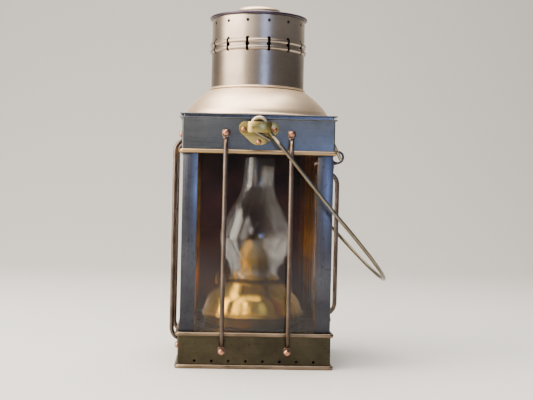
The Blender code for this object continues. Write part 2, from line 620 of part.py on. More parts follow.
def make_fount():
    """The fount: a lower and an upper shell that meet at a beaded rim."""
    lower = mm_points([(0.0, 34.3), (48.6, 34.3), (50.4, 35.8), (52.6, 45.6), (54.5, 47.2), (54.6, 49.3)])
    new_object("fount_base", turned(with_wall(lower, 0.8 * MM), closed=False), BRASS)
    upper = mm_points([(54.6, 49.6), (54.3, 51.0), (52.4, 52.2), (48.6, 64.6), (47.0, 66.6), (32.0, 82.0), (29.6, 82.0),
                       (27.4, 80.2), (26.0, 77.4), (17.2, 77.4)])
    new_object("fount_top", turned(with_wall(upper, 0.8 * MM)), BRASS)


def make_burner():
    """The burner: body, gallery with prongs, dome, wick tube and wick."""
    body = mm_points([(8.6, 72.0), (16.6, 72.0), (16.6, 77.7), (22.0, 77.7), (22.0, 78.9), (19.0, 79.4),
                      (19.0, 84.7), (8.6, 84.7)])
    drum = new_object("burner_body", turned(body), BRASS)
    slot = box((-30 * MM, SHAFT_Y - 1.4 * MM, SHAFT_Z - 1.4 * MM), (0.0, SHAFT_Y + 1.4 * MM, 90 * MM))
    combine(drum, [new_object("cut_shaft_slot", slot, BRASS)], "DIFFERENCE")

    ring = mm_points([(9.6, 85.0), (28.2, 85.0), (29.0, 85.8), (29.0, 87.4), (28.4, 87.4), (28.2, 85.8), (9.6, 85.8)])
    gallery = new_object("chimney_gallery", turned(ring), BRASS)
    prongs = []
    for i in range(4):
        prong = box((26.9 * MM, -2.2 * MM, 85.4 * MM), (27.6 * MM, 2.2 * MM, 93.5 * MM))
        bmesh.ops.rotate(prong, verts=prong.verts, matrix=Matrix.Rotation((i + 0.5) * math.pi / 2, 3, "Z"))
        prongs.append(prong)
    combine(gallery, [new_object("join_prongs", group(prongs), BRASS)], "UNION")

    dome = mm_points([(19.6, 86.1), (18.4, 91.0), (15.9, 99.0), (15.6, 108.0), (14.2, 118.0), (10.6, 126.0),
                      (5.4, 131.0), (3.0, 132.0)])
    hood = new_object("burner_dome", turned(with_wall(dome, 0.7 * MM)), BRASS)
    flame_slot = box((-9 * MM, -2.6 * MM, 124 * MM), (9 * MM, 2.6 * MM, 140 * MM))
    combine(hood, [new_object("cut_flame_slot", flame_slot, BRASS)], "DIFFERENCE")

    tube = new_object("wick_tube", box((-7.2 * MM, -2.6 * MM, 66 * MM), (7.2 * MM, 2.6 * MM, 119 * MM)), BRASS, False)
    bore = box((-6.5 * MM, -1.9 * MM, 60 * MM), (6.5 * MM, 1.9 * MM, 125 * MM))
    window = box((-3.6 * MM, 1.0 * MM, SHAFT_Z - 2.6 * MM), (3.6 * MM, 5.0 * MM, SHAFT_Z + 2.6 * MM))
    combine(tube, [new_object("cut_wick_bore", bore, BRASS),
                   new_object("cut_wick_window", window, BRASS)], "DIFFERENCE")
    wick = box((-6.0 * MM, -1.3 * MM, 42 * MM), (6.0 * MM, 1.3 * MM, 121 * MM))
    new_object("wick", wick, COTTON, smooth=False)


def make_wick_wheel():
    """The wick shaft with its spur wheel, and the thumb knob on its end."""
    shaft = new_object("wick_shaft", rod((-37.3 * MM, SHAFT_Y, SHAFT_Z), (6.0 * MM, SHAFT_Y, SHAFT_Z), 0.9 * MM, 8),
                       BRASS)
    wheel = rod((-3.0 * MM, SHAFT_Y, SHAFT_Z), (3.0 * MM, SHAFT_Y, SHAFT_Z), 2.0 * MM, 12)
    combine(shaft, [new_object("join_spur_wheel", wheel, BRASS)], "UNION")
    knob = turned(mm_points([(0.0, 0.0), (5.2, 0.0), (6.0, 0.6), (6.0, 2.4), (5.2, 3.0), (0.0, 3.0)]), 16, closed=False)
    place = facing((-37.6 * MM, SHAFT_Y, SHAFT_Z), (-50.0 * MM, SHAFT_Y, SHAFT_Z))
    bmesh.ops.transform(knob, verts=knob.verts, matrix=place)
    new_object("wick_knob", knob, BRASS)


def make_chimney():
    """The blown glass chimney, which leans a little in the prongs of its gallery."""
    profile = mm_points([(25.0, 86.1), (25.0, 91.0), (27.4, 97.5), (34.0, 110.0), (38.0, 120.0), (38.8, 128.0),
                         (36.6, 139.0), (28.6, 157.0), (20.8, 171.0), (16.8, 182.0), (16.0, 192.0), (16.3, 214.0)])
    base_r, base_z = profile[0]
    build = turned(with_wall(profile, 1.6 * MM))
    seat = Vector((0.0, 0.0, base_z))
    rise = Vector((0.0, 0.0, base_r * math.sin(CHIMNEY_LEAN)))
    lean = Matrix.Translation(seat + rise) @ Matrix.Rotation(CHIMNEY_LEAN, 4, "Y") @ Matrix.Translation(-seat)
    bmesh.ops.transform(build, verts=build.verts, matrix=lean)
    new_object("chimney", build, GLASS)


make_base()
make_frame()
make_panes()
make_top_band()
make_roof()
make_stack()
make_cap()
make_bars()
make_bracket("front")
make_bracket("rear")
make_bail()
make_door()
make_hinges()
make_hasp()
make_fount()
make_burner()
make_wick_wheel()
make_chimney()
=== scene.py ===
import json
import math

import bmesh
import bpy
from mathutils import Matrix, Vector


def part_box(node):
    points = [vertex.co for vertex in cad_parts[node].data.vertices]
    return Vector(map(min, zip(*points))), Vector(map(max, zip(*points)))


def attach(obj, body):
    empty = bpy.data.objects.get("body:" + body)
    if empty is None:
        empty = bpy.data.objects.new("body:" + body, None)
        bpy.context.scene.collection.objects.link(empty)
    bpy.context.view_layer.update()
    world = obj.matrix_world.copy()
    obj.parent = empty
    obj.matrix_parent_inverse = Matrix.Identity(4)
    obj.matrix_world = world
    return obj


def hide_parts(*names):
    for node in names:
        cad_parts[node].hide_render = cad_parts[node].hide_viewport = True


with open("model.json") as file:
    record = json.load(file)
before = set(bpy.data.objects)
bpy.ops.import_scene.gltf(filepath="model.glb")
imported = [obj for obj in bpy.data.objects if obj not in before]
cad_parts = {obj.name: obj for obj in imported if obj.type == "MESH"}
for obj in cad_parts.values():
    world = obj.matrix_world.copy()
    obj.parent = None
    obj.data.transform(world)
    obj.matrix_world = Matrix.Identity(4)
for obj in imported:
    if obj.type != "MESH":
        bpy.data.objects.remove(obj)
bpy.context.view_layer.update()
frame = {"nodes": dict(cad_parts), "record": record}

# ---- Camera ----
# It stands about a metre in front of the lantern, a little to its left and below its middle, and is rolled
# slightly.

MM = 0.001
BODY_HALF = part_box("roof_plate")[1][0] - 2.5 * MM       # outer face of the bands
EYE = Vector((-0.0383, -BODY_HALF - 1.023, 0.1764))
TURN_RIGHT = math.radians(2.65)
TURN_DOWN = math.radians(0.35)
ROLL = math.radians(1.29)

camera_data = bpy.data.cameras.new("camera")
camera_data.lens = 68.9
camera_data.sensor_width = 36.0
camera = bpy.data.objects.new("camera", camera_data)
bpy.context.scene.collection.objects.link(camera)
camera.matrix_world = (Matrix.Translation(EYE) @ Matrix.Rotation(-TURN_RIGHT, 4, "Z")
                       @ Matrix.Rotation(math.pi / 2 - TURN_DOWN, 4, "X") @ Matrix.Rotation(ROLL, 4, "Z"))
bpy.context.scene.camera = camera


# ---- Studio: pale floor that sweeps up behind, and soft lights ----
# The floor is a plain matt sheet. A large warm light stands on the left and another hangs overhead, with a
# small one in front and a weak cool one low on the right.

def linear(code):
    """An sRGB hex colour as linear RGBA."""
    parts = [int(code[i:i + 2], 16) / 255 for i in (1, 3, 5)]
    return (*[p / 12.92 if p <= 0.04045 else ((p + 0.055) / 1.055) ** 2.4 for p in parts], 1.0)


def add(tree, kind, sockets=None, **settings):
    """Add one node; sockets are values, or links given as another node's output."""
    made = tree.nodes.new(kind)
    for key, value in settings.items():
        setattr(made, key, value)
    for key, value in (sockets or {}).items():
        if isinstance(value, bpy.types.NodeSocket):
            tree.links.new(value, made.inputs[key])
        else:
            made.inputs[key].default_value = value
    return made


def new_material(name, **inputs):
    """A Principled BSDF material with constants set on the shader's own sockets."""
    material = bpy.data.materials.new(name)
    material.use_nodes = True
    shader = material.node_tree.nodes["Principled BSDF"]
    for key, value in inputs.items():
        shader.inputs[key.replace("_", " ")].default_value = value
    return material, material.node_tree, shader


def verts_in(parts):
    """The vertices in what a bmesh operator gives back."""
    return [part for part in parts if isinstance(part, bmesh.types.BMVert)]


sweep = bmesh.new()
edge = [sweep.verts.new((-4.0, y, z)) for y, z in ((-4.0, 0.0), (1.2, 0.0))]
edge += [sweep.verts.new((-4.0, 1.2 + 1.2 * math.sin(t), 1.2 - 1.2 * math.cos(t)))
         for t in (math.pi / 2 * i / 16 for i in range(1, 17))]
edge.append(sweep.verts.new((-4.0, 2.4, 6.0)))
line = [sweep.edges.new(pair) for pair in zip(edge, edge[1:])]
side = bmesh.ops.extrude_edge_only(sweep, edges=line)
bmesh.ops.translate(sweep, vec=(8.0, 0.0, 0.0), verts=verts_in(side["geom"]))
floor_mesh = bpy.data.meshes.new("floor")
sweep.to_mesh(floor_mesh)
sweep.free()
floor_mesh.shade_smooth()
floor = bpy.data.objects.new("floor", floor_mesh)
bpy.context.scene.collection.objects.link(floor)
matt_paper, _, _ = new_material("matt_paper", Base_Color=linear("#cfcdc9"), Roughness=0.85)
floor_mesh.materials.append(matt_paper)

for name, place, size, power, colour in (
        ("left_softbox", (-1.5, -0.7, 0.85), 1.8, 105.0, "#fff1e0"),
        ("front_key", (-0.75, -1.7, 1.35), 0.5, 18.0, "#fff6ec"),
        ("right_window", (0.40, -1.60, 0.45), 0.30, 4.0, "#9dbcff"),
        ("overhead", (-0.25, 0.05, 1.75), 1.6, 85.0, "#fff8ef")):
    data = bpy.data.lights.new(name, "AREA")
    data.shape = "SQUARE"
    data.size = size
    data.energy = power
    data.color = linear(colour)[:3]
    lamp = bpy.data.objects.new(name, data)
    lamp.matrix_world = (Matrix.Translation(place)
                         @ (Vector((0.0, 0.0, 0.2))
                            - Vector(place)).to_track_quat("-Z", "Y").to_matrix().to_4x4())
    bpy.context.scene.collection.objects.link(lamp)

world = bpy.data.worlds.new("studio")
world.use_nodes = True
world.node_tree.nodes["Background"].inputs["Color"].default_value = linear("#c5c6ca")
world.node_tree.nodes["Background"].inputs["Strength"].default_value = 0.36
bpy.context.scene.world = world


# ---- Base band ----
# One strip of sheet brass bent square, with a wire rolled into both edges and a row of vent holes punched
# near the foot. It is bronzed dark, and the patina is rubbed through to yellow metal along the wired edges.

def aged_metal(name, clean, patina, spots, roughness, grain=(40, 40, 1100), worn=None, worn_past=None,
               patches=0.030, streaks=0.14, spotting=0.5, foot=1.0, foot_z=(60 * MM, 210 * MM),
               worn_below=1.0):
    """Metal with a mottled patina, fine spots and directional brushing.

    Grain is lines per metre on each axis; foot is how light the metal is kept below foot_z, so that it is
    darker towards the bottom.
    """
    material, tree, shader = new_material(name, Metallic=1.0)
    place = add(tree, "ShaderNodeTexCoord").outputs["Object"]
    clouds = add(tree, "ShaderNodeTexNoise",
                 {"Vector": place, "Scale": 1 / patches, "Detail": 5.0, "Roughness": 0.62})
    cover = add(tree, "ShaderNodeMapRange",
                {"Value": clouds.outputs["Fac"], "From Min": 0.38, "From Max": 0.66})
    flecks = add(tree, "ShaderNodeTexNoise", {"Vector": place, "Scale": 1 / (3.2 * MM), "Detail": 3.0})
    fleck = add(tree, "ShaderNodeMapRange",
                {"Value": flecks.outputs["Fac"], "From Min": 0.60, "From Max": 0.72})
    stretched = add(tree, "ShaderNodeMapping", {"Vector": place, "Scale": grain})
    lines = add(tree, "ShaderNodeTexNoise",
                {"Vector": stretched.outputs["Vector"], "Scale": 1.0, "Detail": 4.0,
                 "Roughness": 0.7})
    colour = add(tree, "ShaderNodeMix", {0: cover.outputs["Result"], 6: linear(clean), 7: linear(patina)},
                 data_type="RGBA")
    faint = add(tree, "ShaderNodeMath", {0: fleck.outputs["Result"], 1: spotting}, operation="MULTIPLY")
    colour = add(tree, "ShaderNodeMix", {0: faint.outputs["Value"], 6: colour.outputs[2], 7: linear(spots)},
                 data_type="RGBA")
    streak = add(tree, "ShaderNodeMapRange",
                 {"Value": lines.outputs["Fac"], "From Min": 0.25, "From Max": 0.75,
                  "To Min": 1 - streaks, "To Max": 1 + streaks})
    height = add(tree, "ShaderNodeSeparateXYZ", {0: place})
    # Darker towards the bottom by foot: painted shade on the posts, the door frame and the stack, a painted
    # highlight left on the tops of the bail's eyes, and the guard bars darker low down.
    low_darkening = add(tree, "ShaderNodeMapRange", {"Value": height.outputs["Z"], "From Min": foot_z[0],
                                              "From Max": foot_z[1], "To Min": foot})
    shade = add(tree, "ShaderNodeMath", {0: streak.outputs["Result"], 1: low_darkening.outputs["Result"]},
                operation="MULTIPLY")
    colour = add(tree, "ShaderNodeVectorMath", {0: colour.outputs[2], "Scale": shade.outputs["Value"]},
                 operation="SCALE")
    result = colour.outputs["Vector"]
    if worn:
        rub = worn_edge(tree, place, clouds, worn_past, worn_below)
        mixed = add(tree, "ShaderNodeMix", {0: rub, 6: result, 7: linear(worn)}, data_type="RGBA")
        result = mixed.outputs[2]
    tree.links.new(result, shader.inputs["Base Color"])
    rough = add(tree, "ShaderNodeMapRange", {"Value": lines.outputs["Fac"], "From Min": 0.3, "From Max": 0.7,
                                             "To Min": roughness - streaks / 2,
                                             "To Max": roughness + streaks / 2})
    dull = add(tree, "ShaderNodeMath", {0: cover.outputs["Result"], 1: 0.08, 2: rough.outputs["Result"]},
               operation="MULTIPLY_ADD")
    tree.links.new(dull.outputs["Value"], shader.inputs["Roughness"])
    waves = add(tree, "ShaderNodeTexNoise", {"Vector": place, "Scale": 1 / (26 * MM), "Detail": 2.0})
    dents = add(tree, "ShaderNodeBump",
                {"Strength": 0.25, "Distance": 0.9 * MM, "Height": waves.outputs["Fac"]})
    bump = add(tree, "ShaderNodeBump",
               {"Strength": 0.30, "Distance": 0.2 * MM * streaks, "Height": lines.outputs["Fac"],
                "Normal": dents.outputs["Normal"]})
    tree.links.new(bump.outputs["Normal"], shader.inputs["Normal"])
    return material


def worn_edge(tree, place, clouds, past, below):
    """Where the patina is rubbed off: past a distance from the axis and below a height, with gaps."""
    size = add(tree, "ShaderNodeVectorMath", {0: place}, operation="ABSOLUTE")
    parts = add(tree, "ShaderNodeSeparateXYZ", {0: size.outputs["Vector"]})
    reach = add(tree, "ShaderNodeMath", {0: parts.outputs["X"], 1: parts.outputs["Y"]}, operation="MAXIMUM")
    proud = add(tree, "ShaderNodeMapRange", {"Value": reach.outputs["Value"], "From Min": past,
                                             "From Max": past + 1.6 * MM})
    broken = add(tree, "ShaderNodeMapRange",
                 {"Value": clouds.outputs["Fac"], "From Min": 0.30, "From Max": 0.60,
                  "To Min": 0.25, "To Max": 1.0})
    both = add(tree, "ShaderNodeMath", {0: proud.outputs["Result"], 1: broken.outputs["Result"]},
               operation="MULTIPLY")
    lower = add(tree, "ShaderNodeMath", {0: parts.outputs["Z"], 1: below}, operation="LESS_THAN")
    part = add(tree, "ShaderNodeMath", {0: both.outputs["Value"], 1: lower.outputs["Value"]},
               operation="MULTIPLY")
    return part.outputs["Value"]


def edges_in(parts):
    """The edges in what a bmesh operator gives back."""
    return [part for part in parts if isinstance(part, bmesh.types.BMEdge)]


def edge_ring(build, points, closed=True):
    """Vertices and the edges that join them in a row."""
    verts = [build.verts.new(p) for p in points]
    after = verts[1:] + verts[:1] if closed else verts[1:]
    return verts, [build.edges.new(pair) for pair in zip(verts, after)]


def square_swept(outline, corner=1.6 * MM, half=BODY_HALF, steps=6):
    """Run an outline of (outward, height) points round the square body."""
    build = bmesh.new()
    straight = half - corner
    verts, edges = edge_ring(build, [(half + out, -straight, z) for out, z in outline])
    for quarter in range(4):
        turn = Matrix.Rotation(quarter * math.pi / 2, 3, "Z")
        run = bmesh.ops.extrude_edge_only(build, edges=edges)["geom"]
        verts, edges = verts_in(run), edges_in(run)
        bmesh.ops.translate(build, vec=turn @ Vector((0.0, 2 * straight, 0.0)), verts=verts)
        bend = bmesh.ops.spin(build, geom=verts + edges, cent=turn @ Vector((straight, straight, 0.0)),
                              axis=(0.0, 0.0, 1.0), angle=math.pi / 2, steps=steps)["geom_last"]
        edges = edges_in(bend)
    bmesh.ops.remove_doubles(build, verts=build.verts, dist=0.01 * MM)
    bmesh.ops.recalc_face_normals(build, faces=build.faces)
    return build


def arc(x, z, radius, start, end, steps=8):
    """Points of an arc, by its centre and its start and end in degrees."""
    turns = [math.radians(start + (end - start) * i / steps) for i in range(steps + 1)]
    return [(x + radius * math.cos(t), z + radius * math.sin(t)) for t in turns]


def piece(name, build, material, body, stands_for=(), sharp=35):
    """Finish a piece: its material, the body that it rides on and the CAD nodes that it stands for."""
    mesh = bpy.data.meshes.new(name)
    build.to_mesh(mesh)
    build.free()
    mesh.materials.append(material)
    mesh.shade_smooth()
    mesh.set_sharp_from_angle(angle=math.radians(sharp))
    thing = bpy.data.objects.new(name, mesh)
    bpy.context.scene.collection.objects.link(thing)
    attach(thing, body)
    if stands_for:
        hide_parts(*stands_for)
    return thing


def cut_from(thing, cutters):
    """Cut a bmesh's solids out of a piece and drop the cutter."""
    mesh = bpy.data.meshes.new("cutter")
    cutters.to_mesh(mesh)
    cutters.free()
    tool = bpy.data.objects.new("cutter", mesh)
    bpy.context.scene.collection.objects.link(tool)
    step = thing.modifiers.new("cut", "BOOLEAN")
    step.object = tool
    step.operation = "DIFFERENCE"
    step.solver = "EXACT"
    shape = bpy.data.meshes.new_from_object(thing.evaluated_get(bpy.context.evaluated_depsgraph_get()))
    thing.modifiers.clear()
    old = thing.data
    thing.data = shape
    shape.name = old.name
    bpy.data.objects.remove(tool, do_unlink=True)
    bpy.data.meshes.remove(mesh)
    bpy.data.meshes.remove(old)


def add_rod(build, start, end, radius, sides=24):
    """Add a capped round rod between two points to a bmesh."""
    start, end = Vector(start), Vector(end)
    turn = (end - start).to_track_quat("Z", "Y").to_matrix().to_4x4()
    bmesh.ops.create_cone(build, cap_ends=True, segments=sides, radius1=radius, radius2=radius,
                          depth=(end - start).length, matrix=Matrix.Translation((start + end) / 2) @ turn)


EDGE_OUT, EDGE_R = 0.8 * MM, 2.2 * MM
SHEET = 1.2 * MM
BASE_WIRE_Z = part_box("base_band")[1][2] - EDGE_R
olive_bronze = aged_metal("olive_bronzed_brass", "#443e2f", "#342f24", "#221c16", 0.36, grain=(30, 30, 900),
                          worn="#806e5a", worn_past=BODY_HALF + 0.5 * MM)
foot = [(-0.6 * MM, 0.0), (1.9 * MM, 0.0)] + arc(EDGE_OUT, EDGE_R, EDGE_R, -45, 90)
band = (foot + [(0.0, 4.9 * MM), (0.0, BASE_WIRE_Z - EDGE_R)]
        + arc(EDGE_OUT, BASE_WIRE_Z, EDGE_R, -90, 150, 12))
band += [(-SHEET, BASE_WIRE_Z), (-SHEET, 0.6 * MM)]
base_band = piece("base_band_fine", square_swept(band), olive_bronze, "lantern_body",
                  ["base_band"])
VENTS, VENT_PITCH, VENT_Z = 8, 17.1 * MM, 7.6 * MM
vents = bmesh.new()
for i in range(VENTS):
    at = (i - (VENTS - 1) / 2) * VENT_PITCH
    for face in range(4):
        turn = Matrix.Rotation(face * math.pi / 2, 3, "Z")
        add_rod(vents, turn @ Vector((BODY_HALF - 5 * MM, at, VENT_Z)),
                turn @ Vector((BODY_HALF + 5 * MM, at, VENT_Z)), 1.4 * MM, 16)
cut_from(base_band, vents)


# ---- Floor plate, posts, glass stops and back sheet ----
# Plain strips and sheets of brass, folded and soldered behind the bands. The posts are bronzed blue-grey, and
# the stops inside are bare brass, tarnished. The floor, the back and the bottom are sheets of the CAD model.

def ease(build, edges, radius, steps=2):
    """Round off edges of a bmesh."""
    bmesh.ops.bevel(build, geom=edges, offset=radius, segments=steps, profile=0.5, affect="EDGES",
                    material=-1)


def strip_corner(outer, leg, wall, low, high, soften):
    """An angle strip standing at the front right corner, with its edges eased."""
    build = bmesh.new()
    outline = [(outer, -outer), (outer, -outer + leg), (outer - wall, -outer + leg),
               (outer - wall, -outer + wall), (outer - leg, -outer + wall), (outer - leg, -outer)]
    foot_face = build.faces.new([build.verts.new((x, y, low)) for x, y in outline])
    top = bmesh.ops.extrude_face_region(build, geom=[foot_face])["geom"]
    bmesh.ops.translate(build, vec=(0.0, 0.0, high - low), verts=verts_in(top))
    ease(build, build.edges[:], soften)
    bmesh.ops.recalc_face_normals(build, faces=build.faces)
    return build


# The posts and the door frame are darker towards the bottom by foot: painted shade.
slate_bronze = aged_metal("slate_bronzed_brass", "#64666e", "#4c4d54", "#38322f", 0.30, grain=(900, 900, 14),
                          patches=0.055, foot=0.42)
inner_brass = aged_metal("tarnished_inner_brass", "#70481a", "#4a2e12", "#2c1c0e", 0.32, grain=(500, 500, 20),
                         patches=0.018)
dark_back = aged_metal("smoked_back_sheet", "#3e2724", "#201718", "#120d0e", 0.36, grain=(30, 30, 500),
                       patches=0.05)
for turn, corner in enumerate(("front_right", "rear_right", "rear_left", "front_left")):
    for kind, material, slot, leg, wall in (("post", slate_bronze, "bronzed_sheet", 15.0 * MM, 1.0 * MM),
                                            ("glass_stop", inner_brass, "lamp_brass", 12.0 * MM, 0.8 * MM)):
        node = kind + "_" + corner
        low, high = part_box(node)
        reach = max(abs(low[0]), abs(high[0]))
        build = strip_corner(reach, leg, wall, low[2], high[2], 0.2 * MM)
        bmesh.ops.rotate(build, verts=build.verts, matrix=Matrix.Rotation(turn * math.pi / 2, 3, "Z"))
        piece(node + "_strip", build, material, "lantern_body", [node])
for node, material in (("floor_plate", dark_back), ("back_sheet", dark_back), ("bottom_plate", olive_bronze)):
    frame["nodes"][node].data.materials.clear()
    frame["nodes"][node].data.materials.append(material)


# ---- Glass panes ----
# Drawn sheet glass 2 mm thick, with faint waves from drawing and a light film of dust, held in by the stops.

def clear_glass(name, tint, wave, dust, shine):
    """Clear glass with slow waves and a film of dust; shine is how much of its reflection is kept."""
    material, tree, shader = new_material(name, Base_Color=linear(tint), IOR=1.5, Transmission_Weight=1.0,
                                          Alpha=shine)
    place = add(tree, "ShaderNodeTexCoord").outputs["Object"]
    film = add(tree, "ShaderNodeTexNoise",
               {"Vector": place, "Scale": 1 / (22 * MM), "Detail": 6.0, "Roughness": 0.7})
    rough = add(tree, "ShaderNodeMapRange", {"Value": film.outputs["Fac"], "From Min": 0.45, "From Max": 0.8,
                                             "To Min": 0.0, "To Max": dust})
    tree.links.new(rough.outputs["Result"], shader.inputs["Roughness"])
    slow = add(tree, "ShaderNodeTexNoise", {"Vector": place, "Scale": 1 / (40 * MM), "Detail": 1.0})
    bump = add(tree, "ShaderNodeBump",
               {"Strength": wave, "Distance": 0.5 * MM, "Height": slow.outputs["Fac"]})
    tree.links.new(bump.outputs["Normal"], shader.inputs["Normal"])
    return material


sheet_glass = clear_glass("drawn_sheet_glass", "#fafcfb", 0.03, 0.008, 0.35)
for node in ("glass_front", "glass_left", "door_glass"):
    frame["nodes"][node].data.materials.clear()
    frame["nodes"][node].data.materials.append(sheet_glass)


# ---- Top band ----
# Sheet bent square like the base, with a wire in its lower edge and its upper edge turned out as a flange.
# The patina is blue-grey, and the wired edge is rubbed bright.

TOP_WIRE_Z = 218.0 * MM
FLANGE_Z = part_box("top_band")[1][2]
FLANGE_OUT = 2.5 * MM
grey_bronze = aged_metal("grey_bronzed_brass", "#626569", "#4e5152", "#443f38", 0.31, grain=(26, 26, 900),
                         worn="#a88a5e", worn_past=BODY_HALF + 0.5 * MM, worn_below=240 * MM, patches=0.040)
top = (arc(EDGE_OUT, TOP_WIRE_Z, EDGE_R, -150, 90, 12)
       + [(0.0, TOP_WIRE_Z + EDGE_R), (0.0, FLANGE_Z - SHEET - 0.8 * MM)])
top += arc(0.8 * MM, FLANGE_Z - SHEET - 0.8 * MM, 0.8 * MM, 180, 90, 4)
top += arc(FLANGE_OUT - SHEET / 2, FLANGE_Z - SHEET / 2, SHEET / 2, -90, 90, 6)
top += [(-SHEET, FLANGE_Z), (-SHEET, TOP_WIRE_Z)]
piece("top_band_fine", square_swept(top), grey_bronze, "lantern_body", ["top_band"])


# ---- Roof plate, dome and seam ring ----
# A square plate, bronzed like the posts and turned down inside the top band, carries the spun dome. The dome
# and the ring soldered round its neck are brass, worn to a pale satin with a pink cast and polished by hands.

def turned(outline, steps=96, closed=True):
    """Turn an outline of (radius, height) points about the lantern's axis."""
    build = bmesh.new()
    verts, edges = edge_ring(build, [(radius, 0.0, z) for radius, z in outline], closed)
    bmesh.ops.spin(build, geom=verts + edges, cent=(0.0, 0.0, 0.0), axis=(0.0, 0.0, 1.0), angle=2 * math.pi,
                   steps=steps, use_merge=True)
    bmesh.ops.remove_doubles(build, verts=build.verts, dist=0.005 * MM)
    bmesh.ops.recalc_face_normals(build, faces=build.faces)
    return build


def rounded(points, radius, steps=4):
    """Ease the inner corners of an open line of points by a blend of the given length."""
    eased = [points[0]]
    for before, corner, after in zip(points, points[1:], points[2:]):
        corner = Vector(corner)
        back, on = Vector(before) - corner, Vector(after) - corner
        start = corner + back.normalized() * min(radius, back.length * 0.45)
        end = corner + on.normalized() * min(radius, on.length * 0.45)
        for i in range(steps + 1):
            t = i / steps
            eased.append(tuple((1 - t) ** 2 * start + 2 * t * (1 - t) * corner + t * t * end))
    return eased + [points[-1]]


def walled(points, wall):
    """Close an open outer line with its inner wall, on the left of its run."""
    inner = []
    for i, point in enumerate(points):
        along = (Vector(points[min(i + 1, len(points) - 1)]) - Vector(points[max(i - 1, 0)])).normalized()
        inner.append((max(point[0] - along.y * wall, 0.0), point[1] + along.x * wall))
    return list(points) + inner[::-1]


def in_mm(*points):
    """Points given in millimetres."""
    return [tuple(v * MM for v in p) for p in points]


satin_brass = aged_metal("satin_worn_brass", "#f0d8ba", "#dfc29e", "#b08a60", 0.40, grain=(60, 60, 700),
                         patches=0.060, streaks=0.05, spotting=0.18)
ROOF_LOW, ROOF_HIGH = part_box("roof_plate")[1][2] - SHEET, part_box("roof_plate")[1][2]
plate_edge = arc(FLANGE_OUT - SHEET / 2, (ROOF_LOW + ROOF_HIGH) / 2, SHEET / 2, -90, 90, 6)
plate = square_swept(plate_edge + [(-2.6 * MM, ROOF_HIGH), (-2.6 * MM, 244.0 * MM), (-1.5 * MM, 244.0 * MM),
                                   (-1.5 * MM, ROOF_LOW)], corner=2.6 * MM)
piece("roof_plate_edge", plate, slate_bronze, "lantern_body", ["roof_plate"])
deck = bmesh.new()
bmesh.ops.create_cube(deck, size=1.0, matrix=Matrix.Translation((0.0, 0.0, (ROOF_LOW + ROOF_HIGH) / 2))
                      @ Matrix.Diagonal((2 * BODY_HALF - 2.8 * MM, 2 * BODY_HALF - 2.8 * MM,
                                         SHEET - 0.02 * MM, 1.0)))
roof_deck = piece("roof_deck", deck, slate_bronze, "lantern_body")
opening = bmesh.new()
add_rod(opening, (0.0, 0.0, ROOF_LOW - 5 * MM), (0.0, 0.0, ROOF_HIGH + 5 * MM), 70.0 * MM, 96)
cut_from(roof_deck, opening)

dome = rounded(in_mm((79.2, 256.8), (77.2, 257.4), (76.0, 262.0), (69.9, 270.2), (62.9, 276.7), (57.0, 281.4),
                     (51.6, 285.2)), 6.0 * MM, 6)
piece("roof_dome_fine", turned(walled(dome, 1.0 * MM), 160), satin_brass, "lantern_body",
      ["roof_dome"])
# The stack is darker below its beads by foot: painted shade.
stack_brass = aged_metal("brushed_brown_brass", "#c6b6a4", "#a89888", "#7a6c5e", 0.28, grain=(14, 14, 1500),
                         patches=0.050, streaks=0.04, spotting=0.2, foot=0.6, foot_z=(318 * MM, 350 * MM))
seam = in_mm((50.0, 285.8)) + arc(50.0 * MM, 287.1 * MM, 1.3 * MM, -80, 85, 8)
piece("stack_seam_ring_fine", turned(seam, 128), satin_brass, "lantern_body",
      ["stack_seam_ring"])


# ---- Vent stack ----
# A tube of sheet brass with two beads rolled round it, slots sawn through the beads and round holes above. It
# was polished on a lathe, so the marks run round it.

STACK_R, STACK_WALL = 49.7 * MM, 1.0 * MM
STACK_LOW, STACK_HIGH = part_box("vent_stack")[0][2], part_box("vent_stack")[1][2]
VENT_COUNT, SLOT_Z, HOLE_Z = 14, 331.0 * MM, 355.5 * MM
VENT_SHIFT = math.radians(-2.25)
ribs = (arc(STACK_R - 0.9 * MM, 327.4 * MM, 2.7 * MM, -70, 62, 8)
        + arc(STACK_R - 0.9 * MM, 334.4 * MM, 2.7 * MM, -62, 70, 8))
tube = [(STACK_R, STACK_LOW), (STACK_R, 323.6 * MM)] + ribs + [(STACK_R, 338.2 * MM), (STACK_R, STACK_HIGH)]
tube += [(STACK_R - STACK_WALL, STACK_HIGH), (STACK_R - STACK_WALL, STACK_LOW)]
stack = piece("vent_stack_fine", turned(tube, 168), stack_brass, "lantern_body",
              ["vent_stack"])
slots, rounds = bmesh.new(), bmesh.new()
for i in range(VENT_COUNT):
    turn = -math.pi / 2 + VENT_SHIFT + (i + 0.5) * 2 * math.pi / VENT_COUNT
    way = Vector((math.cos(turn), math.sin(turn), 0.0))
    lift = Vector((0.0, 0.0, 1.0))
    frame_turn = Matrix((way, lift.cross(way), lift)).transposed().to_4x4()
    bmesh.ops.create_cube(slots, size=1.0, matrix=Matrix.Translation(way * STACK_R + lift * SLOT_Z)
                          @ frame_turn
                          @ Matrix.Diagonal((8 * MM, 2.9 * MM, 14.0 * MM, 1.0)))
    for height, radius in ((HOLE_Z, 1.65 * MM), (SLOT_Z, 2.3 * MM), (SLOT_Z + 6.0 * MM, 1.95 * MM)):
        add_rod(rounds, way * 46 * MM + lift * height, way * 54 * MM + lift * height, radius, 20)
cut_from(stack, slots)
cut_from(stack, rounds)


# ---- Wind baffle ----
# A plain tube of smoked sheet inside the vent stack, flared at its foot, which keeps gusts off the flame.

baffle = in_mm((48.2, 289.4), (44.0, 292.6), (44.0, 350.0), (43.2, 350.0), (43.2, 292.2), (47.4, 289.0))
piece("wind_baffle_tube", turned(baffle, 128), dark_back, "lantern_body", ["wind_baffle"])
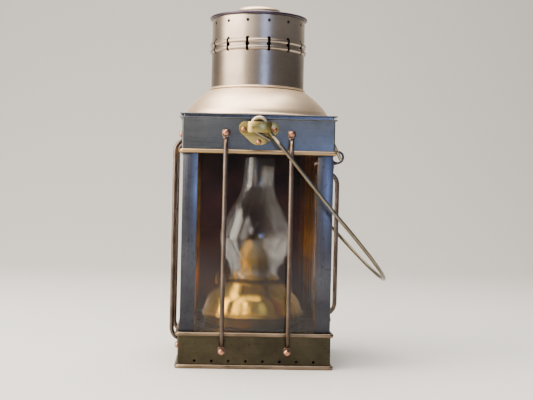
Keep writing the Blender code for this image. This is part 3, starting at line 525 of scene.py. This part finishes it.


# ---- Cap ----
# A shallow spun cone of brass with its rim rolled under, coloured dark all over as painted shade of the rim's
# underside, and a pressed crown of satin brass soldered on top.

# The cap plate's dark colour is painted shade of the shadowed underside of its rim; the door staple shares
# it.
rim_brass = aged_metal("rim_brass_painted_shade", "#4c4450", "#383038", "#282028", 0.30, grain=(30, 30, 900),
                       patches=0.02)
cap = in_mm((0.0, 370.8), (23.0, 370.7)) + rounded(in_mm((24.0, 370.6), (40.0, 366.9), (50.4, 364.5)), 6 * MM)
cap += arc(50.9 * MM, 363.1 * MM, 1.4 * MM, 80, -95, 10) + in_mm((47.0, 361.8), (46.4, 363.6), (39.6, 365.6),
                                                               (23.6, 369.4), (0.0, 369.4))
piece("cap_plate_fine", turned(cap, 128, closed=False), rim_brass, "lantern_body",
      ["cap_plate"])
crown = rounded(in_mm((0.0, 375.8), (16.0, 375.4), (21.6, 374.2), (24.0, 372.3), (24.3, 370.6),
                      (0.0, 370.9)), 3 * MM)
piece("cap_crown_fine", turned(crown, 96, closed=False), satin_brass, "lantern_body",
      ["cap_crown"])


# ---- Guard bars and rivets ----
# Round rod bent out over the wired edges, hammered flat at both ends and held by a domed copper rivet.

def wire(points, radius, sides=4):
    """A round wire along a dense line of points, as a bmesh."""
    curve = bpy.data.curves.new("path", "CURVE")
    curve.dimensions = "3D"
    curve.bevel_depth = radius
    curve.bevel_resolution = sides
    curve.use_fill_caps = True
    line = curve.splines.new("POLY")
    line.points.add(len(points) - 1)
    for at, point in zip(line.points, points):
        at.co = (*point, 1.0)
    holder = bpy.data.objects.new("path", curve)
    bpy.context.scene.collection.objects.link(holder)
    mesh = bpy.data.meshes.new_from_object(holder.evaluated_get(bpy.context.evaluated_depsgraph_get()))
    build = bmesh.new()
    build.from_mesh(mesh)
    bpy.data.objects.remove(holder, do_unlink=True)
    bpy.data.curves.remove(curve)
    bpy.data.meshes.remove(mesh)
    bmesh.ops.remove_doubles(build, verts=build.verts, dist=0.001 * MM)
    bmesh.ops.recalc_face_normals(build, faces=build.faces)
    return build


def spaced(points, step=1.5 * MM):
    """The same line with points at an even spacing."""
    dense = [Vector(points[0])]
    for start, end in zip(points, points[1:]):
        start, end = Vector(start), Vector(end)
        count = max(1, math.ceil((end - start).length / step))
        dense += [start.lerp(end, (i + 1) / count) for i in range(count)]
    return dense


def smooth(t):
    """A smooth step from 0 to 1."""
    t = min(max(t, 0.0), 1.0)
    return t * t * (3 - 2 * t)


def add_rivet(build, place, way, radius, height):
    """Add a domed rivet head, slightly flattened by the hammer, sitting on a surface."""
    dome = [(0.0, height), (0.30 * radius, 0.985 * height), (0.58 * radius, 0.88 * height),
            (0.82 * radius, 0.62 * height), (0.96 * radius, 0.28 * height), (radius, 0.0), (0.0, 0.0)]
    turn = Matrix.Translation(place) @ Vector(way).to_track_quat("Z", "Y").to_matrix().to_4x4()
    verts, edges = edge_ring(build, [turn @ Vector((r, 0.0, z)) for r, z in dome], closed=False)
    axis = turn.to_3x3() @ Vector((0.0, 0.0, 1.0))
    bmesh.ops.spin(build, geom=verts + edges, cent=place, axis=axis, angle=2 * math.pi, steps=32,
                   use_merge=True)


BAR_R = 2.33 * MM
BAR_OUT = 85.0 * MM
BAR_AT = 33.0 * MM                      # each side of the middle of its face
BODY_BAR_ENDS = (17.0 * MM, 236.7 * MM)
DOOR_BAR_ENDS = (45.5 * MM, 205.5 * MM)
SEAT = BODY_HALF + 0.3 * MM
PADDLE_R, PADDLE_T = 4.2 * MM, 1.7 * MM
bar_brass = aged_metal("antiqued_bar_brass", "#786a60", "#584a40", "#3a2c26", 0.30, grain=(300, 300, 60),
                       patches=0.022, foot=0.55)
copper = aged_metal("handled_copper", "#c08e70", "#94604a", "#5e3a2c", 0.30, grain=(300, 300, 300),
                    patches=0.008)


def guard_bar(name, node, across, low, high, face, body):
    """One bar and its two rivets on a face; across is the distance from the face's middle."""
    profile = [(SEAT + PADDLE_T / 2, low - 3.2 * MM), (SEAT + PADDLE_T / 2, low + 3.6 * MM),
               (SEAT + PADDLE_T / 2 + 0.6 * MM, low + 6.0 * MM), (BAR_OUT, low + 13.5 * MM)]
    profile += [(BAR_OUT, high - 13.5 * MM), (SEAT + PADDLE_T / 2 + 0.6 * MM, high - 6.0 * MM),
                (SEAT + PADDLE_T / 2, high - 3.6 * MM), (SEAT + PADDLE_T / 2, high + 3.2 * MM)]
    path = rounded([(out, across, z) for out, z in profile], 5 * MM, 6)
    build = wire(spaced(path), BAR_R, 5)
    for vert in build.verts:
        end = low if vert.co.z < (low + high) / 2 else high
        flat = smooth(1.0 - (abs(vert.co.z - end) - 4.2 * MM) / (4.5 * MM))
        wide = math.sqrt(max(1.0 - (min(abs(vert.co.z - end), PADDLE_R) / PADDLE_R) ** 2, 0.0)) * PADDLE_R
        waist = BAR_R + (PADDLE_R - BAR_R) * smooth(1.0 - (abs(vert.co.z - end) - 1.5 * MM) / (5.5 * MM))
        beyond = (vert.co.z - end) * (1 if end == high else -1) > 0
        reach = max(wide, 0.9 * MM) if beyond else waist
        spread = 1 + (reach / BAR_R - 1) * flat
        vert.co.y = across + (vert.co.y - across) * spread
        thin = 1 + (PADDLE_T / 2 / BAR_R - 1) * flat
        if flat > 0.5:
            vert.co.x = SEAT + PADDLE_T / 2 + (vert.co.x - SEAT - PADDLE_T / 2) * thin
    turn = Matrix.Rotation(math.radians(face), 3, "Z")
    bmesh.ops.rotate(build, verts=build.verts, matrix=turn)
    piece(name, build, bar_brass, body, [node], sharp=50)
    heads = bmesh.new()
    for end in (low, high):
        add_rivet(heads, turn @ Vector((SEAT + PADDLE_T - 0.05 * MM, across, end)),
                  turn @ Vector((1.0, 0.0, 0.0)), 3.5 * MM, 2.5 * MM)
    bmesh.ops.remove_doubles(heads, verts=heads.verts, dist=0.005 * MM)
    bmesh.ops.recalc_face_normals(heads, faces=heads.faces)
    piece(name + "_rivets", heads, copper, body)


for name, across, face in (("front_bar_left", -BAR_AT, -90), ("front_bar_right", BAR_AT, -90),
                           ("left_bar_rear", -BAR_AT, 180), ("left_bar_front", BAR_AT, 180)):
    guard_bar(name + "_rod", name, across, *BODY_BAR_ENDS, face, "lantern_body")
for name, across in (("door_bar_front", -BAR_AT), ("door_bar_rear", BAR_AT)):
    guard_bar(name + "_rod", name, across, *DOOR_BAR_ENDS, 0, "door")


# ---- Bail brackets ----
# A cast brass plate with three lobes is riveted to the top band at the front and the back. A half-round strap
# of brushed brass stands on its stud and holds the eye of the bail.

def pivot(joint_name):
    """A point on a joint's axis, from the frame's record."""
    return next(joint["pos_m"] for joint in frame["record"]["behaviour"]["joints"]
                if joint["name"] == joint_name)


def plate_of(outline, thick, soften=0.25 * MM):
    """A plate with eased edges, from an outline of (x, z) points; it lies behind y = 0."""
    build = bmesh.new()
    face = build.faces.new([build.verts.new((x, 0.0, z)) for x, z in outline])
    back = bmesh.ops.extrude_face_region(build, geom=[face])["geom"]
    bmesh.ops.translate(build, vec=(0.0, thick, 0.0), verts=verts_in(back))
    bmesh.ops.recalc_face_normals(build, faces=build.faces)
    rim = [e for e in build.edges if e.calc_face_angle(0.0) > math.radians(60)]
    ease(build, rim, soften)
    return build


def mirrored(points):
    """An outline with its mirror image, which starts and ends on the axis."""
    return points + [(-x, z) for x, z in points[::-1] if abs(x) > 0.01 * MM]


strap_brass = aged_metal("brushed_olive_brass", "#a4945c", "#80703e", "#54401f", 0.30, grain=(16, 16, 2200),
                         patches=0.012)
BRACKET_T = 1.4 * MM
PIVOT_Z = pivot("bail_swing")[2]
STRAP_HALF, STRAP_T, STRAP_EDGE, STRAP_RISE = 12.25 * MM, 1.3 * MM, 86.0 * MM, 5.4 * MM
STRAP_LOW, STRAP_TALL = 236.8 * MM, 10.9 * MM
lobes = mirrored(arc(13.2 * MM, 241.7 * MM, 7.0 * MM, 90, -50, 18)
                 + arc(0.0, 238.0 * MM, 13.1 * MM, -38, -90, 14))
for side, turn in (("front", 0.0), ("rear", math.pi)):
    spin = Matrix.Rotation(turn, 3, "Z")

    plate = plate_of(lobes, BRACKET_T)
    bmesh.ops.translate(plate, vec=(0.0, -SEAT - BRACKET_T, 0.0), verts=plate.verts)
    bmesh.ops.rotate(plate, verts=plate.verts, matrix=spin)
    piece(side + "_bracket_plate", plate, strap_brass, "lantern_body",
          [side + "_bail_bracket"])

    heads = bmesh.new()
    for x, z in in_mm((-15.6, 240.5), (15.6, 240.5), (0.0, 228.0)):
        add_rivet(heads, spin @ Vector((x, -SEAT - BRACKET_T + 0.05 * MM, z)),
                  spin @ Vector((0.0, -1.0, 0.0)), 2.8 * MM, 2.3 * MM)
    bmesh.ops.remove_doubles(heads, verts=heads.verts, dist=0.005 * MM)
    bmesh.ops.recalc_face_normals(heads, faces=heads.faces)
    piece(side + "_bracket_rivets", heads, copper, "lantern_body")

    bows = [math.pi * i / 28 for i in range(29)]
    outer = [(STRAP_HALF * math.cos(t), -STRAP_EDGE - STRAP_RISE * max(math.sin(t), 0.0) ** 0.8)
             for t in bows]
    inner = [((STRAP_HALF - STRAP_T) * math.cos(t),
              -STRAP_EDGE - max(STRAP_RISE * max(math.sin(t), 0.0) ** 0.8 - STRAP_T, 0.0)) for t in bows]
    strap = bmesh.new()
    foot_face = strap.faces.new([strap.verts.new((x, y, STRAP_LOW)) for x, y in outer + inner[::-1][1:-1]])
    rise = bmesh.ops.extrude_face_region(strap, geom=[foot_face])["geom"]
    bmesh.ops.translate(strap, vec=(0.0, 0.0, STRAP_TALL), verts=verts_in(rise))
    bmesh.ops.recalc_face_normals(strap, faces=strap.faces)
    rim = [e for e in strap.edges if e.calc_face_angle(0.0) > math.radians(60)]
    ease(strap, rim, 0.22 * MM)
    bmesh.ops.rotate(strap, verts=strap.verts, matrix=spin)
    piece(side + "_strap", strap, strap_brass, "lantern_body", [side + "_bail_keeper"])

    stud = bmesh.new()
    add_rod(stud, spin @ Vector((0.0, -SEAT - BRACKET_T - 0.1 * MM, PIVOT_Z)),
            spin @ Vector((0.0, -STRAP_EDGE - STRAP_RISE + STRAP_T + 0.2 * MM, PIVOT_Z)), 3.0 * MM, 40)
    piece(side + "_stud_pin", stud, strap_brass, "lantern_body", [side + "_bail_stud"])


# ---- Bail ----
# One length of drawn brass wire, darkened away from the tops of its eyes, which keep a painted highlight. It
# is bent by hand into a rounded bow with straight arms, which step outwards past the top band. Each end is an
# open eye round its stud with a short tail.

def curved(points, steps=6):
    """A smooth line through an open row of points."""
    line = [Vector(p) for p in points]
    line = [2 * line[0] - line[1]] + line + [2 * line[-1] - line[-2]]
    dense = []
    for a, b, c, d in zip(line, line[1:], line[2:], line[3:]):
        for t in (i / steps for i in range(steps)):
            dense.append(tuple(0.5 * (2 * b + (c - a) * t + (2 * a - 5 * b + 4 * c - d) * t * t
                                      + (3 * b - a - 3 * c + d) * t ** 3)))
    return dense + [tuple(line[-2])]


BAIL_ANGLE = math.radians(41.4)
WIRE_R, EYE_R, EYE_Y, ARM_Y = 1.94 * MM, 7.55 * MM, 83.6 * MM, 89.95 * MM
STRAIGHT, BOW = 118.0 * MM, 92.95 * MM


def hung(along, across, y):
    """A point of the bail, from its distance along and across the arm as it hangs."""
    return Vector((along * math.sin(BAIL_ANGLE) + across * math.cos(BAIL_ANGLE), y,
                   PIVOT_Z - along * math.cos(BAIL_ANGLE) + across * math.sin(BAIL_ANGLE)))


tail_turn = math.radians(290.0)
root = Vector((EYE_R * math.cos(tail_turn), EYE_R * math.sin(tail_turn)))
way = Vector((-math.sin(tail_turn), math.cos(tail_turn)))
arm = [(*(root + way * reach), EYE_Y) for reach in (17.0 * MM, 12.0 * MM, 6.0 * MM)]
arm += [(along, across, EYE_Y) for along, across in arc(0.0, 0.0, EYE_R, 290, 66, 44)]
step_out = curved(in_mm((5.0, 6.1), (9.0, 4.4), (15.0, 3.4), (22.0, 3.0), (30.0, 2.8)), 8)
arm += [(along, across, EYE_Y + (ARM_Y - EYE_Y) * smooth((along - 16 * MM) / (13 * MM)))
        for along, across in step_out]
arm += [(STRAIGHT + BOW * over, (0.3 + over) * MM, ARM_Y * side)
        for over, side in ((math.sin(t), math.cos(t)) for t in (math.pi / 2 * i / 40 for i in range(41)))]
front_half = [hung(along, across, -y) for along, across, y in arm]
rear_half = [hung(along, across, y) for along, across, y in arm[-2::-1]]
bail = wire(spaced(front_half + rear_half, 1.2 * MM), WIRE_R, 6)
# The wire is darkened below the tops of its eyes by foot, which leaves a painted highlight on the top of each
# eye.
bail_brass = aged_metal("bail_brass_painted_highlight", "#d8cbb0", "#b8a888", "#6a5644", 0.30, grain=(300, 300, 60),
                        patches=0.022, foot=0.27, foot_z=(244 * MM, 250 * MM))
piece("bail_wire", bail, bail_brass, "bail", ["bail"], sharp=50)


# ---- Door ----
# A frame of folded sheet with mitred, soldered corners on the right side, its pane held from behind by a
# narrower brass frame. Two brass butt hinges carry it at the back edge.

def flat_frame(node, width, material, body, soften):
    """A flat rectangular frame with mitred corners that fills a node's box, facing +X."""
    low, high = (Vector(corner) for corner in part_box(node))
    build = bmesh.new()
    outer, inner = ([build.verts.new((low.x, y, z)) for y, z in
                     ((low.y + inside, low.z + inside), (high.y - inside, low.z + inside),
                      (high.y - inside, high.z - inside), (low.y + inside, high.z - inside))]
                    for inside in (0.0, width))
    for i in range(4):
        build.faces.new((outer[i], outer[(i + 1) % 4], inner[(i + 1) % 4], inner[i]))
    front = bmesh.ops.extrude_face_region(build, geom=build.faces[:])["geom"]
    bmesh.ops.translate(build, vec=(high.x - low.x, 0.0, 0.0),
                        verts=verts_in(front))
    bmesh.ops.recalc_face_normals(build, faces=build.faces)
    rim = [e for e in build.edges if e.calc_face_angle(0.0) > math.radians(60)]
    ease(build, rim, soften)
    return piece(node + "_folded", build, material, body, [node])


def add_block(build, low, high):
    """Add a box, by two corners in millimetres, to a bmesh."""
    low, high = Vector(low) * MM, Vector(high) * MM
    bmesh.ops.create_cube(build, size=1.0, matrix=Matrix.Translation((low + high) / 2)
                          @ Matrix.Diagonal((*(high - low), 1.0)))


flat_frame("door_frame", 13.0 * MM, slate_bronze, "door", 0.35 * MM)
flat_frame("door_glass_stop", 5.6 * MM, inner_brass, "door", 0.2 * MM)

HINGE_X, HINGE_Y = (v * 1000 for v in pivot("door_hinge")[:2])      # in millimetres, for add_block
for place in ("lower", "upper"):
    post_node, door_node = "hinge_post_leaf_" + place, "hinge_door_leaf_" + place
    low_z, high_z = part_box(post_node)[0][2] * 1000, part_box(post_node)[1][2] * 1000
    middle = (low_z + high_z) / 2

    leaf = bmesh.new()
    add_block(leaf, (75.8, 72.0, low_z), (78.2, 75.3, high_z))
    ease(leaf, leaf.edges[:], 0.25 * MM)
    for z0, z1 in ((low_z, middle - 3.1), (middle + 3.1, high_z)):
        add_rod(leaf, Vector((HINGE_X, HINGE_Y, z0)) * MM, Vector((HINGE_X, HINGE_Y, z1)) * MM, 2.2 * MM, 32)
    piece(post_node + "_pressed", leaf, strap_brass, "lantern_body", [post_node])

    leaf = bmesh.new()
    add_block(leaf, (77.3, 57.0, low_z), (78.3, 67.9, high_z))
    add_block(leaf, (77.4, 67.0, middle - 2.8), (78.2, 70.2, middle + 2.8))
    ease(leaf, leaf.edges[:], 0.22 * MM)
    add_rod(leaf, Vector((HINGE_X, HINGE_Y, middle - 2.8)) * MM,
            Vector((HINGE_X, HINGE_Y, middle + 2.8)) * MM, 2.2 * MM, 32)
    piece(door_node + "_pressed", leaf, strap_brass, "door", [door_node])

    heads = bmesh.new()
    for z in (middle - 5.4, middle + 5.4):
        add_rivet(heads, Vector((78.25, 62.5, z)) * MM, (1.0, 0.0, 0.0), 1.7 * MM, 0.9 * MM)
    bmesh.ops.recalc_face_normals(heads, faces=heads.faces)
    piece(door_node + "_rivets", heads, copper, "door")

    pin = bmesh.new()
    add_rod(pin, Vector((HINGE_X, HINGE_Y, low_z - 0.8)) * MM, Vector((HINGE_X, HINGE_Y, high_z + 0.8)) * MM,
            1.0 * MM, 24)
    piece("hinge_pin_" + place + "_rod", pin, copper, "lantern_body", ["hinge_pin_" + place])


# ---- Hasp and staple ----
# A pressed brass leaf hangs from a knuckled bracket on the top band, and drops over a ring staple in the
# cap's dark brass that is riveted to the door.

HASP = Vector(pivot("hasp_hinge"))
HASP_LEAN = math.radians(25.0)
HASP_ROD_R = 2.4 * MM
bracket = bmesh.new()
add_block(bracket, (77.3, -9.0, 231.0), (78.8, 9.0, 246.0))
for side in (-1, 1):
    near, far = sorted((side * 4.9, side * 9.0))
    add_block(bracket, (78.6, near, 236.8), (80.2, far, 239.2))
ease(bracket, bracket.edges[:], 0.3 * MM)
for side in (-1, 1):
    add_rod(bracket, HASP + Vector((0.0, side * 4.9 * MM, 0.0)), HASP + Vector((0.0, side * 9.0 * MM, 0.0)),
            HASP_ROD_R, 32)
piece("hasp_bracket_pressed", bracket, strap_brass, "lantern_body", ["hasp_bracket"])
heads = bmesh.new()
for y in (-6.0 * MM, 6.0 * MM):
    add_rivet(heads, Vector((78.75 * MM, y, 243.3 * MM)), (1.0, 0.0, 0.0), 1.6 * MM, 1.0 * MM)
bmesh.ops.recalc_face_normals(heads, faces=heads.faces)
piece("hasp_bracket_rivets", heads, copper, "lantern_body")
pin = bmesh.new()
add_rod(pin, HASP + Vector((0.0, -9.6 * MM, 0.0)), HASP + Vector((0.0, 9.6 * MM, 0.0)), 1.0 * MM, 24)
piece("hasp_pin_rod", pin, copper, "lantern_body", ["hasp_pin"])

fork = in_mm((4.6, -1.7), (4.6, -5.0)) + arc(6.0 * MM, -9.0 * MM, 4.0 * MM, 75, 0, 5)
fork += arc(9.0 * MM, -25.4 * MM, 1.0 * MM, 0, -90, 4) + arc(7.0 * MM, -25.4 * MM, 1.0 * MM, -90, -180, 4)
fork += in_mm((6.0, -17.0)) + arc(0.0, -17.0 * MM, 6.0 * MM, 30, 90, 8)
leaf = plate_of(mirrored(fork), 1.2 * MM, 0.3 * MM)
bmesh.ops.translate(leaf, vec=(0.0, -0.6 * MM, 0.0), verts=leaf.verts)
bmesh.ops.transform(leaf, verts=leaf.verts, matrix=Matrix.Translation(HASP)
                    @ Matrix.Rotation(-HASP_LEAN, 4, "Y")
                    @ Matrix.Rotation(math.pi / 2, 4, "Z"))
add_rod(leaf, HASP + Vector((0.0, -4.6 * MM, 0.0)), HASP + Vector((0.0, 4.6 * MM, 0.0)), HASP_ROD_R, 32)
piece("hasp_leaf_pressed", leaf, strap_brass, "hasp", ["hasp_leaf"])

RING = Vector((88.3, 0.0, 217.5)) * MM
RING_R, RING_WIRE = 6.3 * MM, 1.2 * MM
staple = bmesh.new()
loop = bmesh.ops.create_circle(staple, segments=16, radius=RING_WIRE,
                               matrix=Matrix.Translation(RING + Vector((RING_R, 0.0, 0.0))))["verts"]
bmesh.ops.spin(staple, geom=loop + staple.edges[:], cent=RING, axis=(0.0, 1.0, 0.0), angle=2 * math.pi,
               steps=56, use_merge=True)
add_rod(staple, (77.5 * MM, 0.0, 207.9 * MM), (88.3 * MM, 0.0, 211.2 * MM), 1.5 * MM, 24)
add_rod(staple, (77.3 * MM, 0.0, 207.9 * MM), (78.4 * MM, 0.0, 207.9 * MM), 3.8 * MM, 40)
bmesh.ops.recalc_face_normals(staple, faces=staple.faces)
piece("door_staple_ring", staple, rim_brass, "door", ["door_staple"])


# ---- Fount ----
# Two shells of spun brass that meet in a rolled bead. The brass is polished, with brown tarnish in broken
# rings.

lamp_brass = aged_metal("polished_lamp_brass", "#c79a34", "#9c7626", "#5e3e12", 0.16, grain=(40, 40, 900),
                        patches=0.030, streaks=0.06, spotting=0.25)
lower = in_mm((0.0, 34.4)) + rounded(in_mm((46.0, 34.4), (50.4, 34.8), (52.2, 45.0), (53.2, 47.0)), 2.0 * MM)
lower += arc(53.4 * MM, 48.2 * MM, 1.2 * MM, -80, 70, 8)
piece("fount_base_spun", turned(walled(lower, 0.8 * MM), 144), lamp_brass, "lamp",
      ["fount_base"])
upper = arc(53.4 * MM, 50.6 * MM, 1.2 * MM, -70, 85, 8)
upper += rounded(in_mm((52.6, 52.0), (50.8, 58.0), (48.6, 64.8), (44.5, 69.8), (32.6, 81.6), (29.6, 82.2),
                       (27.2, 80.2), (25.6, 77.5), (17.3, 77.5)), 2.2 * MM)
piece("fount_top_spun", turned(walled(upper, 0.8 * MM), 144), lamp_brass, "lamp", ["fount_top"])


# ---- Burner ----
# A flat-wick burner of thin polished brass: a threaded collar, a perforated gallery with four sprung prongs,
# a pressed flame dome and the wick tube inside it.

burner_brass = aged_metal("bright_burner_brass", "#80601c", "#5a3e12", "#38220a", 0.18, grain=(60, 60, 500),
                          patches=0.012, streaks=0.06, spotting=0.3)
collar = (in_mm((8.6, 72.0), (16.6, 72.0), (16.6, 77.7))
          + rounded(in_mm((22.0, 77.7), (22.0, 78.9), (19.2, 79.3)), 0.5 * MM))
for i in range(5):
    collar += arc(18.7 * MM, (79.9 + i) * MM, 0.45 * MM, -80, 80, 4)
collar += in_mm((8.6, 84.7))
body = piece("burner_collar", turned(collar, 96), burner_brass, "lamp", ["burner_body"])
way_in = bmesh.new()
add_block(way_in, (-30.0, 2.25, 82.2), (0.0, 5.05, 90.0))
cut_from(body, way_in)

ring = in_mm((9.6, 85.0)) + rounded(in_mm((27.8, 85.0), (29.0, 85.6), (29.0, 87.4)), 0.8 * MM)
ring += in_mm((28.4, 87.4)) + rounded(in_mm((28.4, 86.0), (27.6, 85.7), (9.6, 85.7)), 0.5 * MM)
gallery = piece("gallery_plate", turned(ring, 144), burner_brass, "lamp", ["chimney_gallery"])
air = bmesh.new()
for count, radius in ((28, 23.4 * MM), (24, 21.0 * MM)):
    for i in range(count):
        at = Vector((radius, 0.0, 0.0))
        at.rotate(Matrix.Rotation(2 * math.pi * (i + 0.5) / count, 3, "Z"))
        add_rod(air, at + Vector((0.0, 0.0, 80 * MM)), at + Vector((0.0, 0.0, 90 * MM)), 0.75 * MM, 10)
cut_from(gallery, air)

prongs = bmesh.new()
for i in range(4):
    strip = bmesh.new()
    line = curved(in_mm((26.4, 85.5), (27.0, 87.0), (27.1, 89.4), (26.6, 91.6), (26.9, 93.3)), 5)
    verts, edges = edge_ring(strip, [(r, -2.2 * MM, z) for r, z in line
                                     + [(r + 0.5 * MM, z) for r, z in line[::-1]]])
    grown = bmesh.ops.extrude_edge_only(strip, edges=edges)["geom"]
    bmesh.ops.translate(strip, vec=(0.0, 4.4 * MM, 0.0), verts=verts_in(grown))
    bmesh.ops.holes_fill(strip, edges=strip.edges[:])
    bmesh.ops.rotate(strip, verts=strip.verts, matrix=Matrix.Rotation((i + 0.5) * math.pi / 2, 3, "Z"))
    held = bpy.data.meshes.new("strip")
    strip.to_mesh(held)
    strip.free()
    prongs.from_mesh(held)
    bpy.data.meshes.remove(held)
bmesh.ops.recalc_face_normals(prongs, faces=prongs.faces)
piece("gallery_prongs", prongs, burner_brass, "lamp")

hood = curved(in_mm((19.6, 86.1), (18.4, 91.0), (16.2, 98.0), (15.6, 106.0), (14.4, 117.0), (10.6, 126.0),
                    (5.4, 130.8), (3.0, 131.8)), 5)
hood = piece("flame_dome", turned(walled(hood, 0.6 * MM), 120), burner_brass, "lamp",
             ["burner_dome"])
slot = bmesh.new()
add_block(slot, (-9.0, -2.6, 124.0), (9.0, 2.6, 140.0))
for height, radius in ((90.0, 19.0), (93.4, 18.0)):
    for i in range(20):
        way = Vector((math.cos(2 * math.pi * i / 20), math.sin(2 * math.pi * i / 20), 0.0))
        add_rod(slot, (way * (radius - 4) + Vector((0.0, 0.0, height))) * MM,
                (way * (radius + 4) + Vector((0.0, 0.0, height))) * MM, 0.8 * MM, 10)
cut_from(hood, slot)

tube = bmesh.new()
add_block(tube, (-7.2, -2.6, 66.0), (7.2, 2.6, 119.0))
ease(tube, [e for e in tube.edges if abs(e.verts[0].co.z - e.verts[1].co.z) > 1 * MM], 1.2 * MM, 4)
tube = piece("wick_tube_drawn", tube, burner_brass, "lamp", ["wick_tube"])
bore = bmesh.new()
add_block(bore, (-6.5, -1.9, 60.0), (6.5, 1.9, 125.0))
add_block(bore, (-3.6, 1.0, 81.0), (3.6, 5.0, 86.2))
cut_from(tube, bore)

SHAFT = Vector((0.0, *pivot("wick_knob_turn")[1:]))
shaft = bmesh.new()
add_rod(shaft, SHAFT + Vector((-37.4 * MM, 0.0, 0.0)), SHAFT + Vector((6.0 * MM, 0.0, 0.0)), 0.9 * MM, 20)
add_rod(shaft, SHAFT + Vector((-3.0 * MM, 0.0, 0.0)), SHAFT + Vector((3.0 * MM, 0.0, 0.0)), 2.0 * MM, 24)
piece("wick_shaft_rod", shaft, burner_brass, "wick_wheel", ["wick_shaft"])

knob = turned(in_mm((0.0, 0.0), (4.6, 0.0), (5.4, 0.35), (6.0, 0.9), (6.0, 2.1), (5.4, 2.65), (4.6, 3.0),
                    (2.2, 2.5),
                    (0.0, 2.5)), 72, closed=False)
for vert in knob.verts:
    out = math.hypot(vert.co.x, vert.co.y)
    if out > 5.8 * MM:
        notch = 1 - 0.05 * (0.5 + 0.5 * math.cos(24 * math.atan2(vert.co.y, vert.co.x)))
        vert.co.x, vert.co.y = vert.co.x * notch, vert.co.y * notch
bmesh.ops.transform(knob, verts=knob.verts, matrix=Matrix.Translation(SHAFT + Vector((-37.6 * MM, 0.0, 0.0)))
                    @ Matrix.Rotation(-math.pi / 2, 4, "Y"))
piece("wick_knob_milled", knob, burner_brass, "wick_wheel", ["wick_knob"])


# ---- Wick ----
# A woven cotton tape, cream, browned near the top and charred black at its tip.

cotton, tree, shader = new_material("woven_cotton_wick", Roughness=0.95)
place = add(tree, "ShaderNodeTexCoord").outputs["Object"]
ribs = add(tree, "ShaderNodeTexWave",
           {"Vector": place, "Scale": 2 * math.pi / 20 / (1.1 * MM), "Distortion": 0.3},
           wave_type="BANDS", bands_direction="X")
picks = add(tree, "ShaderNodeTexWave",
            {"Vector": place, "Scale": 2 * math.pi / 20 / (0.8 * MM), "Distortion": 0.3},
            wave_type="BANDS", bands_direction="Z")
weave = add(tree, "ShaderNodeMath", {0: ribs.outputs["Fac"], 1: picks.outputs["Fac"]}, operation="MULTIPLY")
height = add(tree, "ShaderNodeSeparateXYZ", {0: place})
burnt = add(tree, "ShaderNodeMapRange",
            {"Value": height.outputs["Z"], "From Min": 113 * MM, "From Max": 120 * MM})
shade = add(tree, "ShaderNodeMix", {0: weave.outputs["Value"], 6: linear("#b8ab8c"), 7: linear("#e6dcc4")},
            data_type="RGBA")
charred = add(tree, "ShaderNodeMix", {0: burnt.outputs["Result"], 6: shade.outputs[2], 7: linear("#1c1612")},
              data_type="RGBA")
tree.links.new(charred.outputs[2], shader.inputs["Base Color"])
relief = add(tree, "ShaderNodeBump",
             {"Strength": 0.8, "Distance": 0.25 * MM, "Height": weave.outputs["Value"]})
tree.links.new(relief.outputs["Normal"], shader.inputs["Normal"])
tape = bmesh.new()
add_block(tape, (-6.0, -1.3, 42.0), (6.0, 1.3, 121.0))
ease(tape, tape.edges[:], 0.6 * MM, 3)
piece("wick_tape", tape, cotton, "wick", ["wick"])


# ---- Chimney ----
# Blown clear glass with a bulb and a long neck, its base held by the prongs and its rim fire-polished.

bulb = curved(in_mm((25.0, 86.1), (25.0, 91.0), (27.4, 97.5), (33.0, 108.0), (37.2, 118.5), (38.8, 128.0),
                    (36.6, 139.0), (28.6, 157.0), (20.8, 171.0), (16.8, 182.0), (16.0, 192.0), (16.0, 204.0),
                    (16.3, 213.6)), 8)
chimney_glass = clear_glass("blown_chimney_glass", "#fafbf9", 0.03, 0.02, 0.60)
blown = turned(walled(bulb, 1.5 * MM), 160)
CHIMNEY_LEAN = math.radians(2.0)        # towards the door
base = Vector((0.0, 0.0, bulb[0][1]))
rise = Vector((0.0, 0.0, bulb[0][0] * math.sin(CHIMNEY_LEAN)))
bmesh.ops.transform(blown, verts=blown.verts, matrix=Matrix.Translation(base + rise)
                    @ Matrix.Rotation(CHIMNEY_LEAN, 4, "Y") @ Matrix.Translation(-base))
piece("chimney_blown", blown, chimney_glass, "chimney", ["chimney"])
